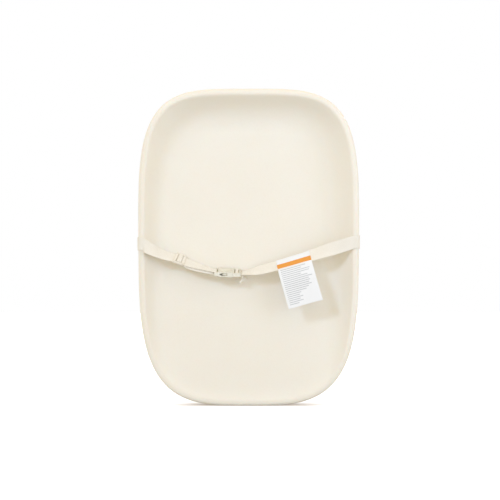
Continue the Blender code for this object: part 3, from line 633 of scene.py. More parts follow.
@dataclass(frozen=True)
class MatShape:
    """The mat's outline and section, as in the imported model."""

    width: float = 500 * MM
    length: float = 720 * MM
    foot_cut: float = 1.2 * MM
    head_squareness: float = 4.08
    foot_squareness: float = 3.48
    head_depth: float = 108 * MM
    foot_depth: float = 50 * MM
    floor_depth: float = 45 * MM
    rise_power: float = 1.7
    back_round: float = 6 * MM
    side_draft: float = 14 * MM
    draft_fade: float = 130 * MM
    draft_power: float = 1.6
    crest_round: float = 9 * MM
    crest_flat: float = 3.5 * MM
    wall_run_head: float = 78 * MM
    wall_run_foot: float = 34 * MM
    strap_level: float = 373 * MM
    channel_depth: float = 6.2 * MM
    round_steps: int = 4
    fineness: int = 40
    draft_shares: tuple[float, ...] = (0.2, 0.45, 0.72)
    wall_shares: tuple[Pair, ...] = (
        (0.0, 1.0),
        (0.035, 0.972),
        (0.075, 0.900),
        (0.13, 0.785),
        (0.2, 0.635),
        (0.3, 0.450),
        (0.42, 0.280),
        (0.56, 0.148),
        (0.72, 0.058),
        (0.87, 0.014),
        (1.0, 0.0),
    )

    @property
    def back_y(self) -> float:
        """Where the flat back is."""
        return self.head_depth / 2

    @property
    def half_length(self) -> float:
        """Half the uncut outline's length."""
        return (self.length + self.foot_cut) / 2

    @property
    def centre(self) -> float:
        """The outline's middle height."""
        return self.half_length - self.foot_cut

    def half_width_at(self, z: float) -> float:
        """Half the widest width at a height."""
        power = self.head_squareness if z >= self.centre else self.foot_squareness
        share = min(1.0, abs(z - self.centre) / self.half_length)
        return self.width / 2 * (1 - share**power) ** (1 / power)

    def outline_point(self, angle: float) -> Vector:
        """(x, z) on the outline, where the angle steers a superellipse."""
        across, along = math.cos(angle), math.sin(angle)
        power = self.head_squareness if along >= 0 else self.foot_squareness
        x = math.copysign(abs(across) ** (2 / power), across) * self.width / 2
        z = math.copysign(abs(along) ** (2 / power), along) * self.half_length
        return Vector((x, z))

    def even_outline(self, steps: int) -> list[tuple[Vector, Vector]]:
        """Points spaced evenly round the outline.

        Args:
            steps: how many.

        Returns:
            Each point with its outward normal, as (x, z) pairs.
        """
        fine = steps * self.fineness
        points = [self.outline_point(math.tau * i / fine) for i in range(fine)]
        lengths = [0.0]
        for i in range(fine):
            lengths.append(lengths[-1] + (points[(i + 1) % fine] - points[i]).length)
        found, nearest = [], 0
        for k in range(steps):
            wanted = lengths[-1] * k / steps
            while lengths[nearest + 1] < wanted:
                nearest += 1
            share = (wanted - lengths[nearest]) / (lengths[nearest + 1] - lengths[nearest])
            here, there = points[nearest], points[(nearest + 1) % fine]
            along = (there - here).normalized()
            found.append((here.lerp(there, share), Vector((along.y, -along.x))))
        return found

    def crest_depth(self, z: float) -> float:
        """How far the rim's crest stands in front of the back at a height."""
        share = min(1.0, max(0.0, z / self.length))
        rise = 1 - (1 - share) ** self.rise_power
        return self.foot_depth + (self.head_depth - self.foot_depth) * rise

    def draft(self, z: float) -> float:
        """How far the back's edge lies inside the outline at a height."""
        return self.side_draft * smooth(z / self.draft_fade)

    def wall_top(self, z: float) -> float:
        """How far in front of the back the outer wall turns into the crest."""
        return self.crest_depth(z) - self.crest_round

    def wall_inset(self, z: float, depth: float) -> float:
        """How far the drafted outer wall lies inside the outline, that far in front of the back."""
        share = (depth - self.back_round) / (self.wall_top(z) - self.back_round)
        return self.draft(z) * max(0.0, 1 - share) ** self.draft_power

    def crest_arc(self, z: float, offset: float = 0.0, steps: int | None = None) -> list[Pair]:
        """(inset, depth) points over the outer edge of the crest, offset outwards."""
        centre = (self.crest_round, self.wall_top(z))
        return arc(centre, self.crest_round + offset, 180, 90, steps or self.round_steps)

    def section(self, z: float) -> list[Pair]:
        """(inset, depth) points from the back's edge over the crest down to the tray's floor."""
        centre = (self.draft(z) + self.back_round, self.back_round)
        back = arc(centre, self.back_round, 270, 180, self.round_steps)
        wall_top = self.wall_top(z)
        depths = [self.back_round + (wall_top - self.back_round) * share for share in self.draft_shares]
        outer = [(self.wall_inset(z, depth), depth) for depth in depths]
        height = self.crest_depth(z) - self.floor_depth
        fullness = height / (self.head_depth - self.floor_depth)
        run = self.wall_run_foot + (self.wall_run_head - self.wall_run_foot) * fullness
        start = self.crest_round + self.crest_flat
        wall = [(start + run * along, self.floor_depth + height * up) for along, up in self.wall_shares]
        return back + outer + self.crest_arc(z) + wall


@dataclass(frozen=True)
class FoamMat:
    """The one-piece foam moulding, with the strap's channel across its back."""

    shape: MatShape
    skin: Material
    steps: int = 128
    channel_half: float = 16.5 * MM
    bridge_thickness: float = 3 * MM
    bridge_width: float = 34 * MM
    bridge_spacing: float = 250 * MM
    reach: float = 270 * MM
    clearance: float = 27 * MM
    tight: float = 1.0

    def rings(self) -> list[Row]:
        """Rings of points from the back's edge to the edge of the tray's floor."""
        shape = self.shape
        outline = shape.even_outline(self.steps)
        heights = [shape.centre + point.y for point, _ in outline]
        sections = [shape.section(z) for z in heights]
        rings = []
        for index in range(len(sections[0])):
            ring = []
            for (point, normal), height, points in zip(outline, heights, sections):
                inset, depth = points[index]
                z = max(height - normal.y * inset, 0.0)
                ring.append(Vector((point.x - normal.x * inset, shape.back_y - depth, z)))
            rings.append(ring)
        return rings

    def mould(self) -> Piece:
        """Models the moulding: a circle pulled through the rings, closed with grids, and smoothed."""
        rings = self.rings()
        circle = {"vertices": self.steps, "radius": self.shape.width / 2, "fill_type": "NOTHING"}
        mat = added("foam_mat", bpy.ops.mesh.primitive_circle_add, **circle)
        for vertex, point in zip(mat.data.vertices, rings[0]):
            vertex.co = point
        pick(mat, "EDGE", lambda e: True)
        rim = set(pull_through(mat, list(range(self.steps)), rings[1:])[0])
        self.close()
        bpy.ops.object.mode_set(mode="OBJECT")
        pick(mat, "EDGE", lambda e: e.is_boundary and all(v.index in rim for v in e.verts))
        self.close()
        bpy.ops.object.mode_set(mode="OBJECT")
        outward(mat)
        shaped(mat, "SUBSURF", levels=2, render_levels=2)
        return mat

    def close(self) -> None:
        """Fills the selected ring with a grid, in edit mode."""
        bpy.ops.mesh.fill_grid(span=self.steps // 4, offset=self.steps // 8)

    def cut_channel(self, mat: Piece) -> None:
        """Cuts the tunnel across the back and the open stretches beside the two bridges."""
        shape = self.shape
        low, high = shape.strap_level - self.channel_half, shape.strap_level + self.channel_half
        deep, roof = shape.back_y - shape.channel_depth, shape.back_y - self.bridge_thickness
        inner = (self.bridge_spacing - self.bridge_width) / 2
        outer = inner + self.bridge_width
        past = shape.back_y + self.clearance
        carved(mat, block("tunnel", (-self.reach, deep, low), (self.reach, roof, high)))
        for start, end in ((-self.reach, -outer), (-inner, inner), (outer, self.reach)):
            carved(mat, block("channel", (start, deep, low), (end, past, high)))

    def build(self) -> Piece:
        """Models and dresses the mat.

        Returns:
            The mat.
        """
        mat = self.mould()
        self.cut_channel(mat)
        softened(mat)
        mat.data.materials.append(self.skin)
        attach(mat, Body.MAT.value)
        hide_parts("mat_body")
        return mat


# The strap's route


@dataclass(frozen=True)
class Drape:
    """How a free span hangs: its edge's turn, its pull at both ends and its ease there."""

    turn: Callable[[float, Vector], Vector] | None = None
    pulls: Pair = (1.0, 1.0)
    ease: float = 0.25
    steps: int = 26


@dataclass(frozen=True)
class Route:
    """Where the webbing runs: places of the slider and buckle, and edge pairs of every stretch."""

    mat: MatShape
    width: float = 30 * MM
    thickness: float = 1.4 * MM
    gap: float = 0.3 * MM
    end_skew: float = 2.4 * MM
    standoff: float = 21.5 * MM
    bend_radius: float = 3 * MM
    slider_at: Spot = (-157 * MM, 37.2 * MM, 18.5, 56.0)
    slider_bar: float = 4.4 * MM
    slider_slot: float = 6 * MM
    slider_thickness: float = 2.4 * MM
    centre_bar_thickness: float = 1.6 * MM
    buckle_at: Spot = (-36.3 * MM, 67.5 * MM, 2.0, 76.0)
    socket_bar_middle: float = -40.1 * MM
    socket_bar: float = 4 * MM
    socket_bar_thickness: float = 4.4 * MM
    plug_first: float = 9.1 * MM
    plug_second: float = 16.5 * MM
    plug_bar: float = 3.2 * MM
    plug_bar_thickness: float = 3 * MM
    plug_bar_rise: float = 1.5 * MM
    tail_length: float = 20 * MM
    tail_droop: float = 80.0
    tail_turn_radius: float = 4 * MM
    tail_twist: float = 35.0
    crest_slopes: Pair = (36.0, 17.0)
    left_lift: float = 0.3
    loop_slopes: Triple = (14.0, 34.0, 15.0)
    cup_reach: float = 4 * MM
    cup_softness: float = 2 * MM
    cup_ease: float = 0.05
    across: int = 12
    left_roll: RollTable = ((0.0, 0.0), (0.12, 0.45), (0.3, 0.6), (0.6, 0.8), (1.0, 1.0))
    right_roll: RollTable = (
        (0.0, 1.0),
        (0.05, 0.95),
        (0.13, 0.84),
        (0.24, 0.66),
        (0.42, 0.55),
        (0.6, 0.5),
        (0.72, 0.35),
        (0.85, 0.13),
        (1.0, 0.0),
    )
    right_pull: Pair = (0.4, 0.9)
    left_ease: float = 0.22
    side_steps: int = 18
    crest_steps: int = 8
    long_span_steps: int = 60
    corner_steps: int = 5
    turn_steps: int = 10

    @property
    def seat(self) -> float:
        """From what the webbing lies on to its middle."""
        return self.gap + self.thickness / 2

    @property
    def pitch(self) -> float:
        """From one layer's middle to the next one's."""
        return self.gap + self.thickness

    def place(self, at: Spot) -> Place:
        """The strap's frame at a spot in front of the tray's floor.

        Args:
            at: x, how far below the strap's level, and the slope and roll in degrees.

        Returns:
            The frame.
        """
        x, sag, slope, roll = *at[:3], math.radians(at[3])
        origin = Vector((x, self.mat.back_y - self.mat.floor_depth - self.standoff, self.mat.strap_level - sag))
        u = falling(slope)
        up = FRONT.cross(u)
        n = FRONT * math.cos(roll) + up * math.sin(roll)
        v = up * math.cos(roll) - FRONT * math.sin(roll)
        return Place(origin, u, v, n)

    @property
    def slider(self) -> Place:
        """The slider's frame."""
        return self.place(self.slider_at)

    @property
    def buckle(self) -> Place:
        """The buckle's frame, at the middle of the socket's mouth."""
        return self.place(self.buckle_at)

    @property
    def plug_bars(self) -> Place:
        """The buckle's frame, moved out to the middle of the plug's bars."""
        buckle = self.buckle
        return Place(buckle.at(0, self.plug_bar_rise), buckle.u, buckle.v, buckle.n)

    @property
    def centre_bar(self) -> Triple:
        """The slider's middle bar: its middle, half its width and half its thickness."""
        return 0.0, self.slider_bar / 2, self.centre_bar_thickness / 2

    @property
    def slider_joint(self) -> float:
        """How far the outer bars' middles are from the slider's middle."""
        return self.slider_bar + self.slider_slot

    @property
    def under_slider(self) -> float:
        """How far the webbing's middle lies under the slider's plate."""
        return -(self.slider_thickness / 2 + self.seat)

    def rows(self, points: Sequence[Vector], ways: Sequence[Vector]) -> list[Row]:
        """Edge pairs along a route, from its points and the directions to its upper edge."""
        half = self.width / 2
        return [[p - w * half, p + w * half] for p, w in zip(points, ways)]

    def side(self, z: float) -> list[Pair]:
        """(x, depth) points up the mat's right side at a height, from the channel to the crest."""
        mat = self.mat
        half = mat.half_width_at(z)
        centre = (half - mat.draft(z), mat.channel_depth - self.seat + self.bend_radius)
        turn = arc(centre, self.bend_radius, -90, 0, self.corner_steps)
        climb = mat.wall_top(z) - centre[1]
        up = []
        for i in range(1, self.side_steps + 1):
            depth = centre[1] + climb * i / self.side_steps
            up.append((max(half - mat.wall_inset(z, depth) + self.seat, centre[0] + self.bend_radius), depth))
        over = [(half - inset, depth) for inset, depth in mat.crest_arc(z, self.seat, self.crest_steps)[1:]]
        return turn + up + over

    def side_edge(self, sign: int, edge: int) -> Row:
        """Points of one edge of the strap up one side; it leans on its way to the crest."""
        level = self.mat.strap_level + edge * self.width / 2
        last = len(self.side(level)) - 1
        points = []
        for i in range(last + 1):
            z = level + sign * self.end_skew * smooth(i / last)
            x, depth = self.side(z)[i]
            points.append(Vector((sign * x, self.mat.back_y - depth, z)))
        return points

    def crest_end(self, sign: int) -> Row:
        """The edge points where the strap lies on the middle of the crest, on one side."""
        centre = self.mat.strap_level + sign * self.end_skew
        ends = []
        for z in (centre - self.width / 2, centre + self.width / 2):
            x = sign * (self.mat.half_width_at(z) - self.mat.crest_round - self.mat.crest_flat / 2)
            ends.append(Vector((x, self.mat.back_y - self.mat.crest_depth(z) - self.seat, z)))
        return ends

    def climb(self, sign: int) -> list[Row]:
        """Edge pairs from the channel up one side to the crest."""
        pairs = zip(self.side_edge(sign, -1), self.side_edge(sign, 1))
        return [list(pair) for pair in pairs] + [self.crest_end(sign)]

    def crest_start(self, sign: int) -> tuple[Vector, Vector]:
        """The point on the crest where the front span begins, and the direction to its upper edge."""
        lower, upper = self.crest_end(sign)
        return (lower + upper) / 2, (upper - lower).normalized()

    def hermite(self, ends: tuple[Vector, Vector], ways: tuple[Vector, Vector], drape: Drape) -> Row:
        """Points on a smooth curve that leaves and arrives along the given directions."""
        (start, end), length = ends, (ends[1] - ends[0]).length
        leave, arrive = (way * length * pull for way, pull in zip(ways, drape.pulls))
        found = []
        for i in range(drape.steps + 1):
            s = i / drape.steps
            s2, s3 = s * s, s * s * s
            point = start * (2 * s3 - 3 * s2 + 1) + leave * (s3 - 2 * s2 + s)
            found.append(point + end * (3 * s2 - 2 * s3) + arrive * (s3 - s2))
        return found

    def span(
        self,
        ends: tuple[Vector, Vector],
        edges: tuple[Vector, Vector],
        ways: tuple[Vector, Vector],
        drape: Drape = Drape(),
    ) -> list[Row]:
        """Edge pairs of a free span whose upper edge turns from one direction to another.

        Args:
            ends: where it starts and ends.
            edges: the directions to the upper edge there.
            ways: the directions that it leaves and arrives along.
            drape: how it hangs in between.

        Returns:
            The edge pairs.
        """
        steps = drape.steps
        points = self.hermite(ends, ways, drape)
        made = []
        for i in range(steps + 1):
            along = (points[min(i + 1, steps)] - points[max(i - 1, 0)]).normalized()
            share = i / steps
            if drape.turn:
                edge = drape.turn(share, along)
            else:
                edge = square_to(edges[0].lerp(edges[1], smooth(share)), along)
            near = edges[0].lerp(edge, smooth(share / drape.ease))
            made.append(edges[1].lerp(near, smooth((1 - share) / drape.ease)).normalized())
        return self.rows(points, made)

    def turned(self, table: RollTable, roll: float) -> Callable[[float, Vector], Vector]:
        """How a span's upper edge turns.

        Args:
            table: shares of the roll, by share of the way.
            roll: the whole roll, in degrees.

        Returns:
            The direction to the upper edge, from the share of the way and the direction along.
        """

        def edge(share: float, along: Vector) -> Vector:
            """The direction to the upper edge."""
            part = table[-1][1]
            for (a, first), (b, second) in zip(table, table[1:]):
                if share <= b:
                    part = first + (second - first) * (share - a) / (b - a)
                    break
            front = square_to(FRONT, along)
            up = front.cross(along).normalized()
            angle = math.radians(roll * part)
            return up * math.cos(angle) - front * math.sin(angle)

        return edge

    def left(self) -> list[Row]:
        """From the left crest to the slider's outer bar."""
        start, edge = self.crest_start(-1)
        leave = (falling(self.crest_slopes[0]) + FRONT * self.left_lift).normalized()
        end = self.slider.at(-self.slider_joint, self.under_slider)
        drape = Drape(self.turned(self.left_roll, self.slider_at[3]), ease=self.left_ease)
        return self.span((start, end), (edge, self.slider.v), (leave, self.slider.u), drape)

    def bend(self, place: Place, centre: Pair, radius: float, start: float, end: float) -> Row:
        """Points round a bend, centre given as (along, out), angles in degrees from u towards n."""
        steps = self.corner_steps if radius < self.bend_radius else self.turn_steps
        return [place.at(along, out) for along, out in arc(centre, radius, start, end, steps)]

    def round_bar(self, place: Place, bar: Triple, layer: int, start: int, end: int) -> Row:
        """Points clockwise round the corners of a bar.

        Args:
            place: the frame that the bar is in.
            bar: how far along its middle is, half its width and half its thickness.
            layer: how many layers lie under this one.
            start: the first angle, in degrees.
            end: the last one, lower.

        Returns:
            The points.
        """
        middle, half_bar, half_thick = bar
        radius = self.seat + layer * self.pitch
        points = []
        for corner in range(start, end, -90):
            side = 1 if corner in (90, 0) else -1
            face = 1 if corner in (180, 90) else -1
            points += self.bend(place, (middle + side * half_bar, face * half_thick), radius, corner, corner - 90)
        return points

    def weave(self) -> list[Row]:
        """The webbing over the slider's centre bar."""
        slider, under, small = self.slider, self.under_slider, self.seat
        leg = self.slider_bar / 2 + self.seat + self.pitch
        points = [slider.at(-self.slider_joint, under)]
        points += self.bend(slider, (-leg - small, under + small), small, -90, 0)
        points += self.round_bar(slider, self.centre_bar, 1, 180, 0)
        points += self.bend(slider, (leg + small, under + small), small, 180, 270)
        points.append(slider.at(self.slider_joint, under))
        return self.rows(points, [slider.v] * len(points))

    def sewn_end(self) -> list[Row]:
        """The sewn end round the slider's centre bar."""
        slider, small = self.slider, self.seat
        lower = self.under_slider - self.pitch
        leg = self.slider_bar / 2 + self.seat
        points = [slider.at(self.slider_joint, lower)]
        points += self.bend(slider, (-leg + small, lower + small), small, 270, 180)
        points += self.round_bar(slider, self.centre_bar, 0, 180, 0)
        points.append(slider.at(leg, self.under_slider))
        return self.rows(points, [slider.v] * len(points))

    def cupped(self, lower: Sequence[Row], upper: Sequence[Row]) -> list[Row]:
        """The loop's lower layer: its front edge hangs, and the rest lies close under the upper layer.

        Args:
            lower: its edge pairs, without the cup.
            upper: the upper layer's edge pairs.

        Returns:
            Its points across, for each pair.
        """
        made, last = [], len(lower) - 1
        for i, ((front, rear), (brim, above)) in enumerate(zip(lower, upper)):
            way = (above - brim).normalized()
            along = square_to(upper[min(i + 1, last)][0] - upper[max(i - 1, 0)][0], way)
            down = along.cross(way)
            if down.dot(front - brim) < 0:
                down = -down
            knee = brim + way * self.cup_reach + down * self.pitch + along * (front - brim).dot(along)
            hanging = (knee - front).length
            share = smooth((1 - i / last) / self.cup_ease)
            row = []
            for j in range(self.across + 1):
                reach = self.width * j / self.across
                ease = min(reach, self.width - reach, self.cup_softness)
                taps = [
                    front.lerp(knee, d / hanging) if d < hanging else knee + way * (d - hanging)
                    for d in (reach - ease, reach, reach + ease)
                ]
                row.append(front.lerp(rear, j / self.across).lerp(sum(taps, Vector()) / len(taps), share))
            made.append(row)
        return made

    def loop(self) -> list[Row]:
        """Points across the loop: from the slider to the buckle's bar, round it, and back below."""
        slider, buckle = self.slider, self.buckle
        bar = (self.socket_bar_middle, self.socket_bar / 2, self.socket_bar_thickness / 2)
        out = bar[2] + self.seat
        start = slider.at(self.slider_joint, self.under_slider)
        over = buckle.at(bar[0] - bar[1], out)
        upper_way, leave, arrive = (falling(slope) for slope in self.loop_slopes)
        there = self.span((start, over), (slider.v, buckle.v), (slider.u, upper_way))
        turn = self.round_bar(buckle, bar, 0, 90, -90)
        under = buckle.at(bar[0] - bar[1], -out)
        end = slider.at(self.slider_joint, self.under_slider - self.pitch)
        lower = self.cupped(self.span((end, under), (slider.v, buckle.v), (leave, arrive)), there)
        return spread(there[:-1] + self.rows(turn, [buckle.v] * len(turn)), self.across) + lower[::-1][1:]

    def tail(self) -> list[Row]:
        """The end woven round the plug's first bar, with its free tail hanging."""
        buckle, small = self.plug_bars, self.seat
        bar = (self.plug_first, self.plug_bar / 2, self.plug_bar_thickness / 2)
        under = -(bar[2] + self.seat)
        lower = under - self.pitch
        leg = bar[1] + self.seat
        points = [buckle.at(self.plug_second, under)]
        points += self.bend(buckle, (bar[0] + leg + small, under + small), small, 270, 180)
        points += self.round_bar(buckle, bar, 0, 90, 0)[::-1]
        points += self.round_bar(buckle, bar, 0, 180, 90)[::-1]
        points += self.bend(buckle, (bar[0] - leg + small, lower + small), small, 180, 270)
        centre = (self.plug_second + bar[1], lower - self.tail_turn_radius)
        points += self.bend(buckle, centre, self.tail_turn_radius, 90, 90 - self.tail_droop)
        rows = self.rows(points, [buckle.v] * len(points))
        droop = math.radians(self.tail_droop)
        way = buckle.u * math.cos(droop) - buckle.n * math.sin(droop)
        hanging = self.tail_length - self.tail_turn_radius * droop
        for i in range(1, self.turn_steps + 1):
            share = i / self.turn_steps
            edge = Matrix.Rotation(math.radians(self.tail_twist) * smooth(share), 3, way) @ buckle.v
            rows += self.rows([points[-1] + way * (hanging * share)], [edge])
        return rows

    def right(self) -> list[Row]:
        """From the plug's second bar to the right crest."""
        buckle = self.plug_bars
        start = buckle.at(self.plug_second, -(self.plug_bar_thickness / 2 + self.seat))
        end, edge = self.crest_start(1)
        arrive = falling(-self.crest_slopes[1])
        turn = self.turned(self.right_roll, self.buckle_at[3])
        drape = Drape(turn, pulls=self.right_pull, steps=self.long_span_steps)
        return self.span((start, end), (buckle.v, edge), (buckle.u, arrive), drape)


def square_to(direction: Vector, way: Vector) -> Vector:
    """The part of a direction that is square to a way, at length 1."""
    return (direction - way * direction.dot(way)).normalized()


def row_at(rows: Sequence[Row], x: float) -> Row:
    """The strap's edge pair at a distance right of the middle, measured at its centre line."""
    middles = [(low + high) / 2 for low, high in rows]
    for i in range(len(rows) - 1):
        if middles[i].x <= x <= middles[i + 1].x:
            share = (x - middles[i].x) / (middles[i + 1].x - middles[i].x)
            return [rows[i][k].lerp(rows[i + 1][k], share) for k in (0, 1)]
    return rows[-1]


def cloth(name: str, rows: Sequence[Row], thickness: float, edge_width: float) -> tuple[Piece, float]:
    """Models a band of cloth, row by row, with its thickness and a woven-in map of metres.

    Args:
        name: the piece's name.
        rows: points across the cloth, for each step along it.
        thickness: the cloth's.
        edge_width: how wide its rounded edges are.

    Returns:
        The piece and its length in metres.
    """
    across = len(rows[0]) - 1
    grid = {"x_subdivisions": across, "y_subdivisions": 1, "size": 1, "calc_uvs": False}
    piece = added(name, bpy.ops.mesh.primitive_grid_add, **grid)
    ordered = sorted(piece.data.vertices, key=lambda v: (v.co.y, v.co.x))
    first = [v.index for v in ordered[: across + 1]]
    second = [v.index for v in ordered[across + 1 :]]
    for line, row in ((first, rows[0]), (second, rows[1])):
        for index, point in zip(line, row):
            piece.data.vertices[index].co = point
    edge_of = set(second)
    pick(piece, "EDGE", lambda e: all(v.index in edge_of for v in e.verts))
    lines = [first] + pull_through(piece, second, rows[2:])
    bpy.ops.object.mode_set(mode="OBJECT")
    length, spots = 0.0, {}
    for k, row in enumerate(rows):
        if k:
            middle, last = row[across // 2], rows[k - 1][across // 2]
            length += (middle - last).length
        breadth = 0.0
        for j, index in enumerate(lines[k]):
            breadth += (row[j] - row[j - 1]).length if j else 0.0
            spots[index] = (length, breadth)
    layer = piece.data.uv_layers.new(name="metres")
    for loop in piece.data.loops:
        layer.data[loop.index].uv = spots[loop.vertex_index]
    shaped(piece, "SOLIDIFY", thickness=thickness, offset=0.0, use_even_offset=True)
    rounded(piece, edge_width, segments=2, degrees=60)
    outward(piece)
    softened(piece, degrees=50)
    return piece, length


def spread(rows: Sequence[Row], across: int) -> list[Row]:
    """Divides each edge pair into that many steps across."""
    return [[low.lerp(high, j / across) for j in range(across + 1)] for low, high in rows]


@dataclass(frozen=True)
class Strap:
    """The webbing, from the slider round the back to the buckle, in the stretches that move apart."""

    route: Route
    webbing: Material
    edge_width: float = 0.45 * MM
    seam_place: float = 125 * MM
    back_steps: int = 24
    flex: float = 50 * MM

    def stretch(
        self, name: str, rows: Sequence[Row], held: Hold, rests_on: Sequence[str], nodes: Sequence[str]
    ) -> Piece:
        """Models one stretch and logs how much webbing it takes.

        Args:
            name: the piece's name.
            rows: its edge pairs, or its points across.
            held: how it is held; not used.
            rests_on: what it lies on; not used.
            nodes: the CAD nodes that it stands for.

        Returns:
            The piece, which rides on nothing yet.
        """
        points = rows if len(rows[0]) > 2 else spread(rows, self.route.across)
        piece, length = cloth(name, points, self.route.thickness, self.edge_width)
        piece.data.materials.append(self.webbing)
        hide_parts(*nodes)
        REPORT.info("%s: %.0f mm of webbing", name, length / MM)
        return piece

    def across_back(self, start: float, end: float) -> list[Row]:
        """Edge pairs in the back's channel between two distances right of the middle."""
        left, right = self.route.climb(-1)[0], self.route.climb(1)[0]
        rows = []
        for i in range(self.back_steps + 1):
            x = start + (end - start) * i / self.back_steps
            share = (x - left[0].x) / (right[0].x - left[0].x)
            rows.append([left[k].lerp(right[k], share) for k in (0, 1)])
        return rows

    def build(self) -> list[Piece]:
        """Models and dresses the whole strap.

        Returns:
            Its pieces.
        """
        route = self.route
        left_climb, right_climb = route.climb(-1), route.climb(1)
        left_rows = route.left()[::-1] + left_climb[::-1][1:]
        left_rows += self.across_back(left_climb[0][0].x, self.seam_place)[1:]
        right_rows = self.across_back(self.seam_place, right_climb[0][0].x)[:-1]
        right_rows += right_climb + route.right()[::-1][1:]
        made = [
            self.stretch(*what)
            for what in (
                ("webbing_left", left_rows, Hold.STRETCHED, ["foam_mat", "glide"], ["strap_left", "strap_back"]),
                ("webbing_right", right_rows, Hold.STRETCHED, ["foam_mat", "buckle_ladder"], ["strap_right"]),
                ("webbing_loop", route.loop(), Hold.FOLDED, ["glide", "buckle_sleeve"], ["strap_loop"]),
                ("webbing_weave", route.weave(), Hold.STRETCHED, ["glide"], ["strap_weave"]),
                ("webbing_sewn_end", route.sewn_end(), Hold.FOLDED, ["glide"], ["strap_end"]),
                ("webbing_tail", route.tail(), Hold.HUNG, ["buckle_ladder"], ["strap_tail"]),
            )
        ]
        left, right, loop, weave, sewn, tail = made
        near, far = (route.slider.at(side * route.slider_joint, 0) for side in (-1, 1))
        route.crest_start(-1)[0]
        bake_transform(left)
        loop_start = route.buckle.at(route.socket_bar_middle, 0)
        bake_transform(loop)
        plug_end = route.buckle.at(route.plug_second, 0)
        plug_end + route.buckle.u * self.flex
        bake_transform(right)
        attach(weave, Body.ADJUSTER.value)
        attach(sewn, Body.ADJUSTER.value)
        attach(tail, Body.PLUG.value)
        return made


# The plastic parts


def moulded(piece: Piece, place: Place, plastic: Material, edge: float, body: Body, node: str) -> Piece:
    """Rounds a plastic piece's edges, carries it to its place and dresses it.

    Args:
        piece: the piece, drawn about the origin.
        place: where it goes.
        plastic: what it is made of.
        edge: how wide its rounded edges are.
        body: what it rides on.
        node: the CAD node that it stands for.

    Returns:
        The piece.
    """
    rounded(piece, edge)
    softened(piece)
    settled(piece, place)
    piece.data.materials.append(plastic)
    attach(piece, body.value)
    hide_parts(node)
    return piece


# The plastic parts


@dataclass(frozen=True)
class Glide:
    """The three-bar slider."""

    route: Route
    plastic: Material
    slot_gap: float = 0.7 * MM
    slot: float = 4.5 * MM
    rail_height: float = 3.3 * MM
    side_frame: float = 3 * MM
    edge: float = 0.75 * MM
    corner_segments: int = 6
    clearance: float = 7.2 * MM

    def build(self) -> Piece:
        """Models and dresses the slider.

        Returns:
            The slider.
        """
        route = self.route
        half_slot = route.width / 2 + self.slot_gap
        half_width = half_slot + self.side_frame
        half_length = route.slider_bar * 1.5 + route.slider_slot
        half_thick = route.slider_thickness / 2
        glide = block("glide", (-half_length, -half_width, -half_thick), (half_length, half_width, self.rail_height))
        pick(glide, "EDGE", lambda e: abs((e.verts[0].co - e.verts[1].co).normalized().z) > FACING)
        bpy.ops.mesh.bevel(offset=self.side_frame, segments=self.corner_segments, affect="EDGES")
        bpy.ops.object.mode_set(mode="OBJECT")
        near = route.slider_bar / 2
        far = near + self.slot
        past = self.clearance
        cut_across(glide, "trough", (-half_length * 2, half_length * 2), half_slot, (half_thick, past))
        for span in ((-far, -near), (near, far)):
            cut_across(glide, "slot", span, half_slot, (-past, past))
        reach = near + self.slot / 2
        thin = route.centre_bar_thickness / 2
        for levels in ((-past, -thin), (thin, past)):
            cut_across(glide, "recess", (-reach, reach), half_slot, levels)
        return moulded(glide, route.slider, self.plastic, self.edge, Body.ADJUSTER, "slider")


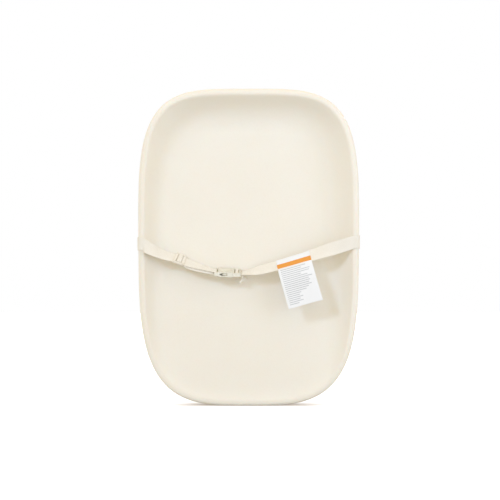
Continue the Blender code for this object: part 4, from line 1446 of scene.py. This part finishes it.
@dataclass(frozen=True)
class Buckle:
    """The side-release buckle: sleeve, ladder with its tongue, and two prongs."""

    route: Route
    plastic: Material
    half_width: float = 19.7 * MM
    half_slot: float = 15.7 * MM
    thickness: float = 11 * MM
    socket_rail: float = 8.4 * MM
    plug_rail: float = 8.6 * MM
    cavity_depth: float = 30 * MM
    cavity_height: float = 6.4 * MM
    wall: float = 3.2 * MM
    post: float = 12 * MM
    end_wall: float = 3.5 * MM
    socket_slot: float = 4.6 * MM
    window_notch: float = 6 * MM
    panel_inset: float = 2.4 * MM
    panel_depth: float = 0.5 * MM
    plug_gap: float = 0.3 * MM
    shoulder: float = 3 * MM
    plug_thickness: float = 9.4 * MM
    tongue: Triple = (19 * MM, 5 * MM, 4 * MM)
    plug_slot: float = 4.2 * MM
    prong_thickness: float = 5.6 * MM
    prong_arm: float = 2.8 * MM
    prong_place: float = 11.2 * MM
    prong_length: float = 27 * MM
    latch: float = 1.6 * MM
    latch_gap: float = 0.4 * MM
    button: float = 7.5 * MM
    tip_shares: Pair = (0.6, 0.9)
    tip_pinch: float = 0.2
    edge: float = 0.8 * MM
    window_point: float = 0.06
    root_steps: int = 8

    def thin_bars(self, piece: Piece, span: Pair, levels: Pair) -> None:
        """Thins a half's webbing bars, below and above, between the rails beside them."""
        past = self.half_width
        for part in ((-past, levels[0]), (levels[1], past)):
            cut_across(piece, "recess", span, self.half_slot, part)

    def sleeve(self) -> Piece:
        """The socket's sleeve, with a pointed window in each side, and its bar for the webbing."""
        half, rail, bar = self.thickness / 2, self.socket_rail / 2, self.route.socket_bar_thickness / 2
        middle_end = -(self.cavity_depth + self.end_wall / 2)
        piece = block("buckle_sleeve", (middle_end, -self.half_width, -half), (0, self.half_width, half))
        back = -ALONG
        drawn_on(piece, back, self.end_wall / 2, Vector((1, 1, rail / half)))
        bar_end = self.route.socket_bar_middle - self.route.socket_bar / 2
        drawn_on(piece, back, -bar_end - self.cavity_depth - self.end_wall)
        for side in (1, -1):
            pick(piece, "FACE", lambda f: f.normal.z * side > FACING and abs(f.calc_center_median().z) > half - CLOSE)
            bpy.ops.mesh.inset(thickness=self.panel_inset)
            bpy.ops.mesh.extrude_region_move(TRANSFORM_OT_translate={"value": (0, 0, -side * self.panel_depth)})
            bpy.ops.object.mode_set(mode="OBJECT")
        inside, high = self.half_width - self.wall, self.cavity_height / 2
        past = self.half_width
        cut_across(piece, "cavity", (-self.cavity_depth, past), inside, (-high, high))
        notch = -self.cavity_depth + self.window_notch
        window = block("window", (notch, -self.half_width - past, -high), (-self.post, self.half_width + past, high))
        drawn_on(window, back, self.window_notch, Vector((1, 1, self.window_point)))
        carved(piece, window)
        slot_start = -(self.cavity_depth + self.end_wall)
        cut_across(piece, "slot", (slot_start - self.socket_slot, slot_start), self.half_slot, (-past, past))
        self.thin_bars(piece, (bar_end - past, slot_start), (-bar, bar))
        return moulded(piece, self.route.buckle, self.plastic, self.edge, Body.MAT, "buckle_socket")

    def ladder(self) -> Piece:
        """The plug's shoulder, tongue, and two bars for the webbing."""
        route = self.route
        start = self.plug_gap + self.shoulder
        half, rail, bar = self.plug_thickness / 2, self.plug_rail / 2, route.plug_bar_thickness / 2
        step = start - self.shoulder / 2
        piece = block("buckle_ladder", (self.plug_gap, -self.half_width, -half), (step, self.half_width, half))
        drawn_on(piece, ALONG, self.shoulder / 2, Vector((1, 1, rail / half)))
        drawn_on(piece, ALONG, route.plug_second + route.plug_bar / 2 - start)
        long, wide, thick = self.tongue
        tongue = block("tongue", (-long, -wide / 2, -thick / 2), (step, wide / 2, thick / 2))
        carved(piece, tongue, "UNION")
        past = self.half_width
        for middle in (route.plug_first, route.plug_second):
            end = middle - route.plug_bar / 2
            cut_across(piece, "slot", (end - self.plug_slot, end), self.half_slot, (-past, past))
        rise = route.plug_bar_rise
        self.thin_bars(piece, (start, route.plug_second + past), (rise - bar, rise + bar))
        return moulded(piece, route.buckle, self.plastic, self.edge, Body.PLUG, "buckle_plug")

    def prong_outline(self) -> list[Pair]:
        """(along, across) points of the upper side's prong, its root round about the origin."""
        arm = self.prong_arm / 2
        post = self.post + self.latch_gap - arm
        tip = self.prong_length - arm
        latch = self.half_width - self.wall + self.latch - self.prong_place
        outer, inner = (latch - self.button * share for share in self.tip_shares)
        back = -post - self.button
        root = arc((0, 0), arm, -90, 90, self.root_steps)
        tip_points = [(back, latch), (-tip, outer), (-tip, inner), (back, -arm)]
        return root + [(-post, arm), (-post, latch), *tip_points, (-post, -arm)]

    def prong(self, name: str, side: int, body: Body, node: str) -> Piece:
        """One springy prong, its tip pinched to a point so that it finds the sleeve.

        Args:
            name: the piece's name.
            side: 1 at the strap's upper edge, -1 at its lower.
            body: what it rides on.
            node: the CAD node that it stands for.

        Returns:
            The prong.
        """
        outline = self.prong_outline()
        circle = {"vertices": len(outline), "radius": self.prong_length, "fill_type": "NGON"}
        piece = added(name, bpy.ops.mesh.primitive_circle_add, **circle)
        half = self.prong_thickness / 2
        for vertex, (x, y) in zip(piece.data.vertices, outline):
            vertex.co = (x - self.prong_arm / 2, side * (y + self.prong_place), -half)
        pick(piece, "FACE", lambda f: True)
        bpy.ops.mesh.extrude_region_move(TRANSFORM_OT_translate={"value": (0, 0, self.prong_thickness)})
        bpy.ops.object.mode_set(mode="OBJECT")
        tip = -self.prong_length + self.prong_arm / 2
        for vertex in piece.data.vertices:
            if vertex.co.x < tip:
                vertex.co.z *= self.tip_pinch
        outward(piece)
        return moulded(piece, self.route.buckle, self.plastic, self.edge / 2, body, node)

    def build(self) -> list[Piece]:
        """Models and dresses the buckle.

        Returns:
            Its pieces.
        """
        return [
            self.sleeve(),
            self.ladder(),
            self.prong("prong_upper", 1, Body.REAR_PRONG, "prong_rear"),
            self.prong("prong_lower", -1, Body.FRONT_PRONG, "prong_front"),
        ]


@dataclass(frozen=True)
class SewnTag:
    """The cloth tag, sewn along its top edge to the strap's right half."""

    route: Route
    satin: Material
    thread: Material
    place: float = 102 * MM
    width: float = 79 * MM
    length: float = 120.5 * MM
    thickness: float = 0.45 * MM
    seat_thickness: float = 0.8 * MM
    edge_width: float = 0.15 * MM
    top_inset: float = 1.5 * MM
    limp_tilt: float = 16.0
    hang_tilt: float = 5.0
    bend_share: float = 0.3
    bend_parts: int = 14
    across: int = 24
    down: int = 36
    curl: float = 1.8 * MM
    curl_start: float = 0.3
    stitch_line: float = 3.2 * MM
    stitch_pitch: float = 3.1 * MM
    stitch_length: float = 2.3 * MM
    stitch_radius: float = 0.28 * MM
    seam_margin: float = 4 * MM
    lift_start: float = 5 * MM
    lift_end: float = 16 * MM

    def columns(self) -> list[Row]:
        """Key points down the tag, for each step across it: over the strap's face, then hanging."""
        rows = self.route.right()
        first, last = (row_at(rows, self.place + side * self.width / 2) for side in (-1, 1))
        along = ((last[0] + last[1]) - (first[0] + first[1])).normalized()
        front = square_to(FRONT, along)
        down = along.cross(front).normalized()
        seat = self.route.gap + (self.route.thickness + self.seat_thickness) / 2
        hanging = self.length - (self.route.width - self.top_inset)
        limp, hang = (
            down * math.cos(math.radians(tilt)) + front * math.sin(math.radians(tilt))
            for tilt in (self.limp_tilt, self.hang_tilt)
        )
        made = []
        for i in range(self.across + 1):
            lower, upper = row_at(rows, self.place + self.width * along.x * (i / self.across - 0.5))
            fall = (lower - upper).normalized()
            out = square_to(along.cross(-fall), along) * seat
            top, brink = upper + fall * self.top_inset + out, lower + out
            knee = brink + limp * (hanging * self.bend_share)
            made.append([top, brink, knee, knee + hang * (hanging * (1 - self.bend_share)), front])
        return made

    def rows(self) -> list[Row]:
        """Points across the tag for each step down it, with a soft bend and a little curl."""
        columns = self.columns()
        rows = []
        for k in range(self.down + 1):
            share = k / self.down
            row = []
            for i, (top, brink, knee, foot, front) in enumerate(columns):
                point = self.down_at([top, brink, knee, foot], share)
                off_middle = 2 * i / self.across - 1
                lift = self.curl * smooth((share - self.curl_start) / (1 - self.curl_start)) * (off_middle**2 - 0.5)
                row.append(point + front * lift)
            rows.append(row)
        return rows

    def down_at(self, stops: Row, share: float) -> Vector:
        """The point that share of the way down, on a line eased round its stops."""
        reach = self.length * share
        lengths = [(b - a).length for a, b in zip(stops, stops[1:])]
        window = self.length / self.bend_parts

        def straight(distance: float) -> Vector:
            """The point that far down the unrounded line."""
            distance = max(0.0, min(sum(lengths), distance))
            for a, b, span in zip(stops, stops[1:], lengths):
                if distance <= span:
                    return a.lerp(b, distance / span)
                distance -= span
            return stops[-1]

        ease = min(1.0, reach / window, (self.length - reach) / window)
        taps = [straight(reach + window * ease * t) for t in (-1, -0.5, 0, 0.5, 1)]
        return sum(taps, Vector()) / len(taps)

    def stitches(self, rows: Sequence[Row]) -> Piece:
        """A line of thread along the tag's top edge, one stitch modelled and copied."""
        line = self.down * self.stitch_line / self.length
        low, high = rows[int(line)], rows[int(line) + 1]
        seam = [a.lerp(b, line - int(line)) for a, b in zip(low, high)]
        out = square_to(FRONT, (seam[-1] - seam[0]).normalized())
        raised = self.thickness / 2
        count = int((self.width - self.seam_margin) / self.stitch_pitch)
        ball = {"segments": 8, "ring_count": 6, "radius": self.stitch_radius}
        pattern = added("stitch", bpy.ops.mesh.primitive_uv_sphere_add, **ball)
        pattern.data.transform(Matrix.Scale(self.stitch_length / 2 / self.stitch_radius, 4, ALONG))
        made = []
        for k in range(count):
            share = (k + 0.5) / count * self.across
            i = min(int(share), self.across - 1)
            spot = seam[i].lerp(seam[i + 1], share - i)
            way = (seam[i + 1] - seam[i]).normalized()
            up = out.cross(way)
            copy = bpy.data.objects.new("stitch_copy", pattern.data.copy())
            bpy.context.scene.collection.objects.link(copy)
            turned = Matrix((way, up, out)).transposed().to_4x4()
            copy.data.transform(Matrix.Translation(spot + out * raised) @ turned)
            made.append(copy)
        bpy.data.objects.remove(pattern)
        select_only(made[0])
        for copy in made[1:]:
            copy.select_set(True)
        bpy.ops.object.join()
        piece = started("tag_stitches")
        bpy.ops.object.shade_smooth()
        piece.data.materials.append(self.thread)
        return piece

    def build(self) -> list[Piece]:
        """Models and dresses the tag.

        Returns:
            Its pieces.
        """
        rows = self.rows()
        piece, _ = cloth("tag_cloth", rows, self.thickness, self.edge_width)
        for spot in piece.data.uv_layers["metres"].data:
            down, across = spot.uv
            spot.uv = (across, down)
        piece.data.materials.append(self.satin)
        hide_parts("tag")
        stitches = self.stitches(rows)
        top, foot = (row[self.across // 2] for row in (rows[0], rows[-1]))
        down = (foot - top).normalized()
        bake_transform(piece)
        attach(stitches, Body.MAT.value)
        return [piece, stitches]


# The set


@dataclass(frozen=True)
class Studio:
    """A white floor and surround, soft lamps and the camera."""

    camera_at: Triple = (0.0030, -2.70, 0.357)
    lens: float = 85.0
    sensor: float = 36.0
    floor_size: float = 8.0
    floor_drop: float = 0.2 * MM
    floor_grey: Colour = (0.62, 0.62, 0.62)
    floor_glow: float = 0.85
    # painted contact shadow: how far it reaches, how finely it is sampled, and how dark and warm the floor's glow
    # gets near the mat
    contact_shadow_reach: float = 60 * MM
    contact_shadow_samples: int = 24
    contact_shadow_range: Pair = (0.35, 0.95)
    contact_shadow_level: float = 0.4
    contact_shadow_tint: Colour = (1.0, 0.86, 0.74)
    ambient: Colour = (0.915, 0.785, 0.55)
    ambient_behind: Colour = (0.88, 0.83, 0.70)
    ambient_range: Pair = (0.0, 0.5)
    lamp_colour: Colour = (0.66, 0.89, 1.31)
    lamps: tuple[tuple[str, Triple, float, float], ...] = (
        ("key", (-3.0, -4.2, 2.88), 1.15, 80.0),
        ("right", (1.8, -1.5, 0.9), 1.6, 13.8),
        ("front", (0.3, -3.2, 0.9), 1.8, 4.2),
        ("back", (0.5, 3.6, 1.7), 2.0, 36.0),
    )
    aim: Triple = (0.0, 0.0, 0.36)

    def hung(self, name: str, data: bpy.types.ID, spot: Triple, turn: Sequence[float]) -> Piece:
        """Puts the camera or a lamp in its spot, turned by Euler angles."""
        thing = bpy.data.objects.new(name, data)
        thing.location, thing.rotation_euler = spot, turn
        bpy.context.scene.collection.objects.link(thing)
        return thing

    def camera(self) -> None:
        """Sets up the camera at the photograph's viewing angle."""
        data = bpy.data.cameras.new("camera")
        data.lens, data.sensor_width = self.lens, self.sensor
        bpy.context.scene.camera = self.hung("camera", data, self.camera_at, (math.radians(90), 0, 0))

    def lights(self) -> None:
        """Hangs the soft lamps."""
        for name, spot, size, power in self.lamps:
            data = bpy.data.lights.new(name, "AREA")
            data.shape, data.size, data.energy, data.color = "DISK", size, power, self.lamp_colour
            away = Vector(spot) - Vector(self.aim)
            self.hung(name, data, spot, away.to_track_quat("Z", "Y").to_euler())

    def world(self) -> None:
        """A soft surround that is seen as white: warm in front of the mat, plainer behind it."""
        world = bpy.data.worlds.new("surround")
        bpy.context.scene.world = world
        sketch = NodeSketch(world, "Background")
        behind = sketch.ramp(sketch.split("Generated")[1], self.ambient_range)
        light = sketch.mix(behind, self.ambient, self.ambient_behind)
        sketch.feed(Color=sketch.mix(sketch.seen(), light, WHITE))

    def floor(self) -> None:
        """A plain white floor that keeps the mat's shadow; near the mat its glow is dimmed and tinted warm, a painted
        contact shadow.
        """
        plane = {"size": self.floor_size, "location": (0, 0, -self.floor_drop)}
        floor = added("floor", bpy.ops.mesh.primitive_plane_add, **plane)
        sketch = NodeSketch("white_floor")
        sketch.feed(Base_Color=self.floor_grey, Roughness=0.9, Specular_IOR_Level=0.1)
        # painted contact shadow: ambient occlusion near the mat dims the floor's glow and tints it warm
        reach = {"Distance": self.contact_shadow_reach}
        near = sketch.node("ShaderNodeAmbientOcclusion", reach, samples=self.contact_shadow_samples)
        open_share = sketch.ramp(near.outputs["AO"], self.contact_shadow_range)
        level = sketch.math("MULTIPLY_ADD", open_share, self.floor_glow - self.contact_shadow_level, self.contact_shadow_level)
        painted_shadow_tint = sketch.mix(open_share, self.contact_shadow_tint, WHITE)
        strength = sketch.math("MULTIPLY", sketch.seen(), level)
        glow = sketch.node("ShaderNodeEmission", {"Color": painted_shadow_tint, "Strength": strength})
        both = sketch.node("ShaderNodeAddShader", {0: sketch.shader.outputs[0], 1: glow.outputs[0]})
        sketch.links.new(both.outputs[0], sketch.nodes["Material Output"].inputs["Surface"])
        floor.data.materials.append(sketch.material)

    def build(self) -> None:
        """Sets up everything round the mat."""
        self.camera()
        self.lights()
        self.world()
        self.floor()
        bpy.context.scene.view_settings.view_transform = "Standard"


def main() -> None:
    """Builds the mat's pieces and the set, in order."""
    logging.basicConfig(level=logging.INFO, format="%(name)s: %(message)s")
    Studio().build()
    shape = MatShape()
    route = Route(shape)
    webbing, plastic = Weave().build(), MouldedAcetal().build()
    cream = MouldedAcetal("slider_acetal", (0.855, 0.80, 0.695), (0.815, 0.75, 0.635)).build()
    makers = (
        lambda: [FoamMat(shape, FoamSkin().build()).build()],
        Strap(route, webbing).build,
        lambda: [Glide(route, cream).build()],
        Buckle(route, plastic).build,
        SewnTag(route, TagCloth().build(), Thread().build()).build,
    )
    for make in makers:
        for piece in make():
            REPORT.info("made %s with %d faces", piece.name, len(piece.data.polygons))


if __name__ == "__main__":
    main()
